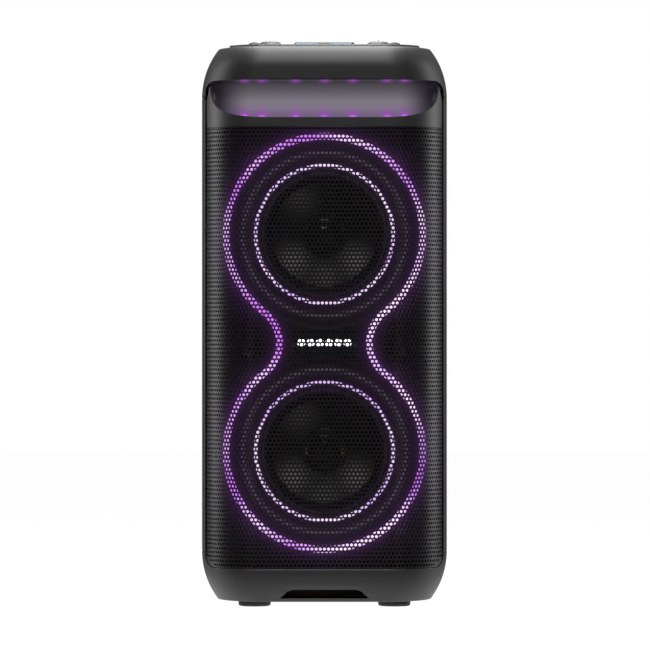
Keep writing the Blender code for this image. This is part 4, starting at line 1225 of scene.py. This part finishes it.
DISH = [(113.9, 0.0), (112.5, -1.6), (108.0, -3.0), (101.0, -3.8), (99.6, -2.6), (98.2, -1.2), (96.8, -2.6),
        (95.4, -4.6), (90.0, -5.2), (87.4, -4.6), (86.6, -2.0), (86.4, -0.1), (77.8, -0.1), (77.6, -8.0),
        (113.9, -8.0), (113.9, 0.0)]
for end, place in DRIVERS.items():
    dish = turn(f"baffle_dish_{end}", DISH, place, steps=128, closed=True)
    finish_piece(smooth(dish, 50), BAFFLE_PLASTIC, "front_baffle", "baffle_plastic")

# %% [markdown]
# ## Light guides
#
# The inner guides are plain rings with soft edges. The outer one runs round both woofers with
# a waist in the middle: two large arcs and two small hollow ones that touch them smoothly.

# %% Inner rings
RING = [(80.4, 4.2), (81.0, 3.6), (84.0, 3.6), (84.6, 4.2), (84.6, 6.9), (83.6, 7.9), (81.4, 7.9),
        (80.4, 6.9), (80.4, 4.2)]
for end, place in DRIVERS.items():
    ring = turn(f"light_ring_{end}", RING, place, steps=144, closed=True)
    finish_piece(smooth(ring, 60), RING_LIGHT, f"inner_light_ring_{end}", "light_guide")

# %% Outer band
BAND_RADIUS, WAIST = RING_RADII["outer"], WAIST_HALF
STEP = DRIVERS["upper"].z - MIDDLE
FILLET = (BAND_RADIUS ** 2 - WAIST ** 2 - STEP ** 2) / (2 * (WAIST - BAND_RADIUS))
TOUCH = math.atan2(STEP, WAIST + FILLET)


def band_point(u, offset):
    """Point (x, z) on the band's path, moved outwards by offset; u runs once round it."""
    large, small = (math.pi + 2 * TOUCH) * BAND_RADIUS, 2 * TOUCH * FILLET
    run = (u % 1.0) * 2 * (large + small)
    flip = 1
    if run >= large + small:
        run, flip = run - large - small, -1
    if run < large:
        angle = run / BAND_RADIUS - TOUCH
        x, z = (BAND_RADIUS + offset) * math.cos(angle), STEP + (BAND_RADIUS + offset) * math.sin(angle)
    else:
        angle = TOUCH - (run - large) / FILLET
        x = -(WAIST + FILLET) + (FILLET - offset) * math.cos(angle)
        z = (FILLET - offset) * math.sin(angle)
    return flip * x, MIDDLE + flip * z


BAND_SECTION = [(-3.9, 1.0), (-3.3, 0.4), (3.3, 0.4), (3.9, 1.0), (3.9, 6.8), (2.8, 7.9), (-2.8, 7.9),
                (-3.9, 6.8), (-3.9, 1.0)]


def band_shape(u, v):
    across, forward = BAND_SECTION[round(v * (len(BAND_SECTION) - 1))]
    x, z = band_point(u, across * MM)
    return x, BAFFLE_FACE - forward * MM, z


band = laid_grid("light_band", 420, len(BAND_SECTION) - 1, band_shape)
finish_piece(smooth(all_outwards(band), 60), BAND_LIGHT, "outer_light_guide", "light_guide")
print("band", len(band.data.polygons), "faces")

# %% [markdown]
# ## Indicator in the middle
#
# Six round lamps look through a dark window. The window's holes are bored; each lamp is a
# small dome turned once and then copied along the row.

# %% Lamp row
LAMPS, LAMP_PITCH, LAMP_RADIUS = 6, 11.07 * MM, 4.6 * MM
lamp_places = [((number - (LAMPS - 1) / 2) * LAMP_PITCH, BAFFLE_FACE, MIDDLE) for number in range(LAMPS)]
window = rounded_box("indicator_glass", *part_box("indicator_window"), 5 * MM, "Y")
for place in lamp_places:
    bored(window, place, LAMP_RADIUS + 0.3 * MM, 40, depth=0.03)
finish_piece(rounded(window, 0.4 * MM, 2), TEAL_GLASS, "indicator_window", "smoked_window")


def copied(piece, name, shift):
    """Copy of a finished piece with its own mesh, moved inside that mesh."""
    twin = piece.copy()
    twin.data = piece.data.copy()
    bpy.context.scene.collection.objects.link(twin)
    activate(twin)
    twin.name = name
    choose(twin, lambda co: True)
    bpy.ops.transform.translate(value=shift)
    done()
    return twin


first_lamp = turn("lamp_1", [(1.2, 6.5), (2.8, 6.25), (4.0, 5.6), (4.6, 4.6), (4.6, 1.6)], lamp_places[0],
                  steps=32)
finish_piece(smooth(first_lamp, 50), LAMP_LIGHT, "indicator_light_pipe", "white_light_guide")
for number, place in enumerate(lamp_places[1:], 2):
    copied(first_lamp, f"lamp_{number}", Vector(place) - Vector(lamp_places[0]))
print("lamps", LAMPS, "pitch", round(LAMP_PITCH, 5))

# %% [markdown]
# ## Woofers
#
# From the outside in: the basket's pressed frame, the rubber roll, the paper cone with its
# stiffening rings and the dust cap. The roll spans the gap between the basket and the cone.

# %% Woofer parts
BASKET = [(76.0, 3.2), (77.0, 3.4), (85.4, 3.3), (86.0, 2.7), (86.0, 0.2), (77.4, 0.2), (66.0, -20.0),
          (54.0, -47.0),
          (52.0, -60.0), (20.0, -60.0), (20.0, -58.4), (50.4, -58.4), (52.2, -46.6), (64.4, -19.4),
          (73.4, -1.0),
          (73.8, 1.2), (76.0, 1.2), (76.0, 3.2)]
ROLL = [(75.9, 1.6), (74.9, 3.6), (72.6, 6.4), (69.8, 7.3), (67.0, 6.1), (65.0, 2.6), (64.0, -0.9),
        (62.4, -1.6)]
CONE = [(64.0, -1.3), (61.0, -2.7), (56.4, -5.6), (50.0, -9.2), (49.4, -8.8), (48.6, -9.4), (40.0, -14.2),
        (39.4, -13.8),
        (38.6, -14.5), (30.0, -19.9), (14.8, -30.2), (14.8, -32.2), (30.0, -22.2), (48.0, -11.2),
        (61.0, -4.4),
        (64.0, -2.7), (64.0, -1.3)]
CAP_RING = [(27.0, -21.0), (27.4, -20.2), (26.0, -19.3), (24.2, -19.4), (21.0, -20.3), (18.4, -20.4),
            (16.4, -18.0)]
for end, place in DRIVERS.items():
    body = f"cone_{end}"
    basket = turn(f"basket_{end}", BASKET, place, closed=True)
    finish_piece(smooth(basket, 45), BASKET_PAINT, f"woofer_basket_{end}", "basket_metal")
    cone = turn(f"paper_cone_{end}", CONE, place, steps=120, closed=True)
    finish_piece(smooth(cone, 50), CONE_PULP, f"woofer_cone_{end}", "cone_pulp", body)
    crown = [(14.6, -15.6), (12.0, -12.8), (8.0, -10.9), (4.0, -10.1), (1.0, -10.0)]
    cap = turn(f"dust_cap_{end}", (CAP_RING + crown)[::-1], place, closed=True)
    choose(cap, lambda co: (co - place).xz.length < 1.2 * MM)
    bpy.ops.mesh.edge_face_add()
    done()
    thickened(all_outwards(cap), 0.5 * MM)
    finish_piece(smooth(cap, 60), GLOSS_BLACK, f"woofer_dust_cap_{end}", "dust_cap_plastic", body)
    roll = turn(f"rubber_roll_{end}", bent_line(ROLL, 4), place, steps=120, closed=True)
    choose(roll, lambda co: True)
    bpy.ops.mesh.normals_make_consistent(inside=False)
    done()
    thickened(roll, 0.7 * MM)
    smooth(roll, 60)
    roll.data.materials.append(SURROUND_RUBBER)
    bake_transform(roll)
    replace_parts(roll, f"woofer_surround_{end}")
print("woofers", list(DRIVERS))

# %% [markdown]
# ## Tweeters
#
# A small horn with a flared mouth surrounds each soft dome. Both are turned from profiles.

# %% Horn and dome
HORN = [(10.2, -3.0), (10.4, -1.0), (11.2, 0.6), (13.6, 2.2), (17.0, 3.5), (19.6, 4.0), (21.2, 3.8),
        (21.6, 3.2), (21.6, 0.2),
        (17.2, 0.2), (17.2, -22.0), (4.0, -22.0), (4.0, -3.0), (10.2, -3.0)]
DOME = [(0.8, 1.7), (3.0, 1.3), (5.4, 0.5), (7.4, -0.8), (8.4, -1.9), (9.6, -1.4), (10.2, -2.6),
        (4.0, -2.6)]
for side, name in ((-1, "left"), (1, "right")):
    place = Vector((side * TWEETER_X, BAFFLE_FACE, MIDDLE))
    horn = turn(f"tweeter_horn_{name}", HORN, place, steps=64, closed=True)
    finish_piece(smooth(horn, 50), GLOSS_BLACK, f"tweeter_body_{name}", "gloss_black")
    dome = turn(f"silk_dome_{name}", DOME, place, steps=48)
    finish_piece(smooth(dome, 60), SILK, f"tweeter_dome_{name}", "tweeter_silk")
print("tweeters at", round(TWEETER_X, 4))

# %% [markdown]
# ## Controls on the cap
#
# A raised plate carries two knobs, two round buttons, four keys and the display. Everything
# that moves rides on its own body, so it turns or presses with its joint.

# %% Control plate
plate_low, plate_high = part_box("control_panel")
PLATE_TOP = plate_high.z
plate = rounded_box("control_plate", plate_low, plate_high, 12 * MM, "Z")
carve(plate, cabinet_blank("plate_limit", CAP_TOP, CAP_TOP + 20 * MM, 5 * MM, []), "INTERSECT")
choose(plate, lambda co: co.z > PLATE_TOP - 0.1 * MM)
bpy.ops.transform.resize(value=(0.985, 0.975, 1),
                         center_override=(0, (plate_low.y + plate_high.y) / 2, PLATE_TOP))
done()
KNOBS = {name: middle_of(name) for name in ("volume_knob", "mic_knob")}
BUTTONS = {name: middle_of(name) for name in ("power_button", "light_button")}
KEYS = {name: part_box(name) for name in ("previous_key", "play_key", "next_key", "bass_key")}
for center in KNOBS.values():
    bored(plate, (center.x, center.y, PLATE_TOP), 4.6 * MM, 48, depth=0.04, axis=UPWARD)
for center in BUTTONS.values():
    bored(plate, (center.x, center.y, PLATE_TOP), 7.3 * MM, 48, depth=0.04, axis=UPWARD)
for low, high in KEYS.values():
    grow = Vector((0.3 * MM, 0.3 * MM, 20 * MM))
    carve(plate, rounded_box("key_hole", low - grow, high + grow, 3 * MM, "Z"))
finish_piece(rounded(plate, 0.7 * MM, 3), PANEL_PLASTIC, "control_panel", "panel_plastic")

# %% Knobs with gripped rims
GRIPS = 36


def knob(name, center, pointer):
    top = PLATE_TOP + 5.6 * MM
    place = Vector((center.x, center.y, PLATE_TOP))
    profile = [(3.0, -14.0), (3.0, 0.4), (13.4, 0.4), (14.0, 0.9), (14.0, 1.9), (13.8, 2.3), (12.2, 3.3),
               (11.4, 4.1),
               (10.4, 4.5), (9.2, 4.7), (8.8, 4.9), (6.0, 5.4), (3.0, 5.58), (0.8, 5.6)]
    piece = turn(name + "_cap", profile, place, UPWARD, steps=GRIPS * 4)
    count = GRIPS * 4
    for vertex in piece.data.vertices:
        arm = vertex.co - place
        reach = arm.xy.length
        if 11.9 * MM < reach < 14.1 * MM:
            step = round(math.atan2(arm.y, arm.x) / (2 * math.pi) * count)
            sink = 0.35 * MM if step % 4 in (0, 1) else 0.0
            vertex.co.xy = place.xy + arm.xy.normalized() * (reach - sink)
    finish_piece(smooth(piece, 30), KNOB_PLASTIC, name, "knob_plastic", name)
    low_corner = Vector((center.x - 0.9 * MM, center.y - (4.0 if pointer else 10.5) * MM, top - 1.4 * MM))
    high_corner = Vector((center.x + 0.9 * MM, center.y + (1.0 if pointer else -6.5) * MM,
                          top + (0.7 if pointer else -0.3) * MM))
    mark = rounded(rounded_box(name + "_mark", low_corner, high_corner, 0.5 * MM, "Z", 3), 0.2 * MM, 2)
    finish_piece(mark, KNOB_PLASTIC if pointer else MARK_PAINT, name, "knob_plastic", name)


for name, center in KNOBS.items():
    knob(name, center, name == "mic_knob")
print("knobs", [name for name in KNOBS])

# %% Buttons and keys
for name, center in BUTTONS.items():
    place = Vector((center.x, center.y, PLATE_TOP))
    profile = [(2.5, -14.0), (2.5, -4.5), (8.4, -4.5), (8.4, -3.1), (7.0, -3.1), (7.0, 0.9), (6.7, 1.6),
               (5.8, 2.1),
               (4.6, 2.5), (4.1, 2.2), (3.6, 2.2), (3.2, 2.9), (1.8, 3.3), (0.6, 3.4)]
    button = turn(name + "_cap", profile, place, UPWARD, steps=48)
    finish_piece(smooth(button, 40), KEY_RUBBER, name, "key_rubber", name)
for name, (low, high) in KEYS.items():
    center = (low + high) / 2
    body_low = Vector((low.x, low.y, CAP_TOP - 1.0 * MM))
    key = rounded(rounded_box(name + "_cap", body_low, high, 2.7 * MM, "Z"), 0.8 * MM, 3)
    finish_piece(key, KEY_RUBBER, name, "key_rubber", name)
    stem = rounded_box(name + "_stem", (center.x - 2 * MM, center.y - 2 * MM, low.z),
                       (center.x + 2 * MM, center.y + 2 * MM, CAP_TOP - 0.8 * MM), 0.5 * MM, "Z", 3)
    finish_piece(stem, KEY_RUBBER, name, "key_rubber", name)


def symbol(name, node, corners, height, body):
    """Small raised sign on a key, drawn as a flat outline and pushed up."""
    deselect()
    bpy.ops.mesh.primitive_circle_add(vertices=len(corners), radius=1 * MM, fill_type="NGON")
    sign = named(name)
    for vertex, (x, y) in zip(sign.data.vertices, corners):
        vertex.co = (x, y, height)
    choose(sign, lambda co: True)
    bpy.ops.mesh.extrude_region()
    bpy.ops.transform.translate(value=(0, 0, 0.12 * MM))
    done()
    return finish_piece(all_outwards(sign), MARK_PAINT, node, "knob_plastic", body)


def arrow(x, y, size, direction):
    return [(x - size * direction, y - size), (x + size * direction, y), (x - size * direction, y + size)]


for name, (low, high) in KEYS.items():
    center, top, size = (low + high) / 2, high.z - 0.06 * MM, 1.7 * MM
    if name == "bass_key":
        bars = [[(center.x + a * MM, center.y - 1.8 * MM), (center.x + (a + 0.8) * MM, center.y - 1.8 * MM),
                 (center.x + (a + 0.8) * MM, center.y + b * MM), (center.x + a * MM, center.y + b * MM)]
                for a, b in ((-2.6, -0.4), (-1.0, 0.6), (0.6, 1.8))]
        for number, bar in enumerate(bars):
            symbol(f"bass_bar_{number}", name, bar, top, name)
    else:
        way = -1 if name == "previous_key" else 1
        symbol(name + "_arrow", name, arrow(center.x, center.y, size, way), top, name)
        bar_x = center.x + way * (size + 0.9 * MM)
        symbol(name + "_bar", name, [(bar_x - 0.35 * MM, center.y - size),
                                     (bar_x + 0.35 * MM, center.y - size),
                                     (bar_x + 0.35 * MM, center.y + size),
                                     (bar_x - 0.35 * MM, center.y + size)], top, name)
print("keys", list(KEYS))

# %% Display
house_low, house_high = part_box("display_housing")
lens_low, lens_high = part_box("display_lens")
housing = rounded_box("display_frame", house_low, house_high, 3 * MM, "Z")
choose(housing, lambda co: co.z > (house_low.z + house_high.z) / 2)
bpy.ops.transform.resize(value=(0.926, 0.903, 1),
                         center_override=(0, (house_low.y + house_high.y) / 2, house_high.z))
done()
bay_gap = Vector((0.3 * MM, 0.3 * MM, 0.3 * MM))
carve(housing, rounded_box("bay", lens_low - bay_gap, lens_high + Vector((0.3 * MM, 0.3 * MM, 9 * MM)),
                           1.5 * MM, "Z"))
finish_piece(rounded(housing, 0.4 * MM, 2), GLOSS_BLACK, "display_housing", "gloss_black")
screen = rounded(rounded_box("screen", lens_low, lens_high, 1.2 * MM, "Z"), 0.2 * MM, 2)
finish_piece(screen, GLOSS_BLACK, "display_lens", "display_glass")
for name, left, right in (("lit_pane_left", -34.5, -7.7), ("lit_pane_right", 7.9, 32.0)):
    pane = rounded_box(name, (left * MM, house_low.y - 0.3 * MM, house_low.z + 0.1 * MM),
                       (right * MM, house_low.y + 1.2 * MM, house_low.z + 1.0 * MM), 0.3 * MM, "Y", 3)
    finish_piece(pane, SCREEN_LIGHT, "display_lens", "display_glass")
SEGMENTS = {"a": (0, 1, 1, 0), "b": (1, 0.5, 0, 1), "c": (1, -0.5, 0, 1), "d": (0, -1, 1, 0),
            "e": (-1, -0.5, 0, 1),
            "f": (-1, 0.5, 0, 1), "g": (0, 0, 1, 0)}
DIGITS = {"1": "bc", "2": "abged"}
digit_y = (lens_low.y + lens_high.y) / 2


def digit(name, figure, x):
    """Seven-segment figure from small bars."""
    for key in DIGITS[figure]:
        across, up, wide, tall = SEGMENTS[key]
        center = Vector((x + across * 2.0 * MM, digit_y + up * 3.4 * MM, lens_high.z - 0.05 * MM))
        half = Vector((1.5 * MM if wide else 0.35 * MM, 1.2 * MM if tall else 0.35 * MM, 0.12 * MM))
        bar = rounded_box(f"{name}_{key}", center - half, center + half, 0.15 * MM, "Z", 2)
        finish_piece(bar, SCREEN_LIGHT, "display_lens", "display_glass")


digit("tens", "1", -6.0 * MM)
digit("units", "2", 2.0 * MM)
print("display", [round(1000 * value, 1) for value in house_high - house_low], "mm")

# %% [markdown]
# ## Feet
#
# Soft pads with a rounded foot and a shallow ring, one turned and three copied.

# %% Four feet
foot_center = middle_of("foot_front_left")
foot_place = Vector((foot_center.x, foot_center.y, 0))
FOOT = [(0.8, 0.6), (10.0, 0.6), (11.0, 0.0), (16.6, 0.0), (18.2, 0.5), (19.1, 1.4), (19.4, 2.6),
        (19.4, 5.4), (18.9, 6.2), (17.5, 6.5),
        (0.8, 6.5)]
first_foot = turn("foot_1", FOOT, foot_place, UPWARD, steps=64)
finish_piece(smooth(first_foot, 45), RUBBER, "foot_front_left", "foot_rubber")
for number, node in enumerate(("foot_front_right", "foot_rear_left", "foot_rear_right"), 2):
    foot = copied(first_foot, f"foot_{number}", middle_of(node) - foot_center)
    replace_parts(foot, node)
print("feet 4")

# %% [markdown]
# ## Back
#
# A recessed panel closes the cabinet: moulded ribs across it, six screws, the
# flared bass port and the sunk socket bay.

# %% Rear panel with port and socket bay
rear_low, rear_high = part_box("rear_panel")
io_low, io_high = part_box("io_panel")
port_low, port_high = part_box("reflex_port")
PORT = Vector(((port_low.x + port_high.x) / 2, rear_high.y, (port_low.z + port_high.z) / 2))
RIB_ZONE, RIB_COUNT = (250 * MM, 400 * MM), 9
panel = rounded_box("back_panel", rear_low, rear_high, 8 * MM, "Y")
bored(panel, PORT, 36.3 * MM, 96)
margin = 5 * MM
carve(panel, rounded_box("socket_bay", (io_low.x + margin, 0.12, io_low.z + margin),
                         (io_high.x - margin, 0.18, io_high.z - margin), 5 * MM, "Y"))
finish_piece(rounded(panel, 0.6 * MM, 2), BACK_PLASTIC, "rear_panel", "back_plastic")
for number, z in enumerate(evenly(*RIB_ZONE, RIB_COUNT)):
    rib = rounded_box(f"back_rib_{number}", (-78 * MM, rear_high.y - 0.2 * MM, z - 1.5 * MM),
                      (78 * MM, rear_high.y + 2.2 * MM, z + 1.5 * MM), 1.4 * MM, "Y", 5)
    finish_piece(rounded(rib, 0.6 * MM, 2), BACK_PLASTIC, "rear_panel", "back_plastic")

PORT_PROFILE = [(31.6, -8.0), (31.9, -4.5), (33.0, -1.0), (35.0, 1.2), (37.4, 2.0), (40.8, 1.9),
                (42.0, 1.0), (42.0, 0.3),
                (35.8, 0.3), (34.2, -8.0), (32.4, -20.0), (32.4, -120.0), (30.2, -120.0), (30.2, -20.0),
                (31.6, -8.0)]
port = turn("port_tube", PORT_PROFILE, PORT, Vector((0, 1, 0)), steps=96, closed=True)
finish_piece(smooth(port, 50), BACK_PLASTIC, "reflex_port", "back_plastic")

# %% Screws in the corners
SCREW_SPOTS = [(x * MM, z * MM) for x in (-90, 90) for z in (94, 340, 586)]
screw_place = Vector((SCREW_SPOTS[0][0], rear_high.y, SCREW_SPOTS[0][1]))
first_screw = turn("screw_1", [(4.4, -0.3), (4.4, 0.4), (3.6, 1.2), (2.0, 1.6), (0.6, 1.7)], screw_place,
                   Vector((0, 1, 0)), steps=32)
for turned_by in (0, math.pi / 2):
    deselect()
    bpy.ops.mesh.primitive_cube_add(size=1, location=screw_place + Vector((0, 1.6 * MM, 0)),
                                    rotation=(0, turned_by, 0))
    bpy.context.object.scale = (3.6 * MM, 1.6 * MM, 0.7 * MM)
    carve(first_screw, named("driver_slot"))
finish_piece(smooth(first_screw, 30), STEEL, "rear_panel", "back_plastic")
for number, (x, z) in enumerate(SCREW_SPOTS[1:], 2):
    copied(first_screw, f"screw_{number}", Vector((x - screw_place.x, 0, z - screw_place.z)))
print("screws", len(SCREW_SPOTS))

# %% Socket panel and sockets
bay = rounded_box("socket_plate", io_low, io_high, 4 * MM, "Y")
SOCKET_ROOMS = {"usb_port": (6.6, 2.9, 12.0, 1.0), "mic_jack": (3.3, 3.3, 24.0, 3.2),
                "power_inlet": (12.5, 8.5, 18.0, 3.0)}
for name, (half_x, half_z, depth, radius) in SOCKET_ROOMS.items():
    low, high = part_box(name)
    grow = Vector((0.3 * MM, 20 * MM, 0.3 * MM))
    carve(bay, rounded_box("seat", low - grow, high + grow, 1.5 * MM, "Y", 4))
    body = rounded(rounded_box(name + "_body", low, high, 1.4 * MM, "Y", 4), 0.3 * MM, 2)
    center = (low + high) / 2
    half = Vector((half_x * MM, 0, half_z * MM))
    carve(body, rounded_box("hollow", Vector((center.x, high.y - depth * MM, center.z)) - half,
                            Vector((center.x, high.y + 10 * MM, center.z)) + half, radius * MM, "Y", 8))
    kind = (STEEL, name, "socket_metal") if name == "usb_port" else (GLOSS_BLACK, name, "socket_plastic")
    finish_piece(smooth(body, 35), *kind)
    floor_y = high.y - depth * MM
    if name == "power_inlet":
        for number, x in enumerate((-7.0, 0.0, 7.0)):
            pin = rounded_box(f"inlet_pin_{number}",
                              (center.x + (x - 1) * MM, floor_y - 0.5 * MM, center.z - 2.2 * MM),
                              (center.x + (x + 1) * MM, floor_y + 12 * MM, center.z + 2.2 * MM), 0.6 * MM,
                              "Y", 3)
            finish_piece(pin, STEEL, name, "socket_metal")
    if name == "usb_port":
        tongue = rounded_box("usb_tongue", (center.x - 5.2 * MM, floor_y - 0.5 * MM, center.z - 0.2 * MM),
                             (center.x + 5.2 * MM, floor_y + 9 * MM, center.z + 1.4 * MM), 0.3 * MM, "Y", 3)
        finish_piece(tongue, GLOSS_BLACK, name, "socket_metal")
finish_piece(rounded(bay, 0.5 * MM, 2), BACK_PLASTIC, "io_panel", "back_plastic")
print("sockets", list(SOCKET_ROOMS))

# %% [markdown]
# ## Finishes for the parts that stay as they are
#
# What sits inside, or is already the right shape, keeps its solid from the working model and
# only takes a finish.

# %% Dress the remaining nodes
KEPT_FINISHES = {
    "woofer_magnet": MAGNET, "woofer_spider": SPIDER_CLOTH, "woofer_voice_coil": COPPER,
    "amplifier_board": BOARD, "control_board": BOARD, "power_supply": STEEL, "battery_pack": BATTERY,
    "volume_encoder": STEEL, "mic_encoder": STEEL, "base_grip_pocket": BACK_PLASTIC,
    "rear_panel": BACK_PLASTIC, "io_panel": BACK_PLASTIC, "reflex_port": BACK_PLASTIC,
    "usb_port": STEEL, "mic_jack": GLOSS_BLACK, "power_inlet": BACK_PLASTIC,
    "foot": RUBBER, "front_trim": TRIM, "handle_scoop": SCOOP_PLASTIC, "handle_light": VIOLET_SPOT,
    "front_grille": GRILLE_PAINT, "front_baffle": BAFFLE_PLASTIC, "outer_light_guide": BAND_LIGHT,
    "inner_light_ring": RING_LIGHT, "indicator_window": GLOSS_BLACK, "indicator_light_pipe": LAMP_LIGHT,
    "woofer_basket": BASKET_PAINT, "woofer_surround": SURROUND_RUBBER, "woofer_cone": CONE_PULP,
    "woofer_dust_cap": GLOSS_BLACK, "tweeter_body": GLOSS_BLACK, "tweeter_dome": SILK,
    "control_panel": PANEL_PLASTIC, "display_housing": GLOSS_BLACK, "display_lens": SCREEN_LIGHT,
    "volume_knob": KNOB_PLASTIC, "mic_knob": KNOB_PLASTIC, "power_button": KEY_RUBBER,
    "light_button": KEY_RUBBER, "previous_key": KEY_RUBBER, "play_key": KEY_RUBBER,
    "next_key": KEY_RUBBER, "bass_key": KEY_RUBBER, "cabinet_shell": CASING, "top_cap": CASING,
    "base_plinth": CASING,
}


def finish_for(node):
    starts = [start for start in KEPT_FINISHES if node.startswith(start)]
    return KEPT_FINISHES[max(starts, key=len)]


for node_name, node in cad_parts.items():
    node.data.materials.clear()
    node.data.materials.append(finish_for(node_name))
print("dressed", len(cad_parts), "nodes")

# %% [markdown]
# ## The end

# %% The end
deselect()
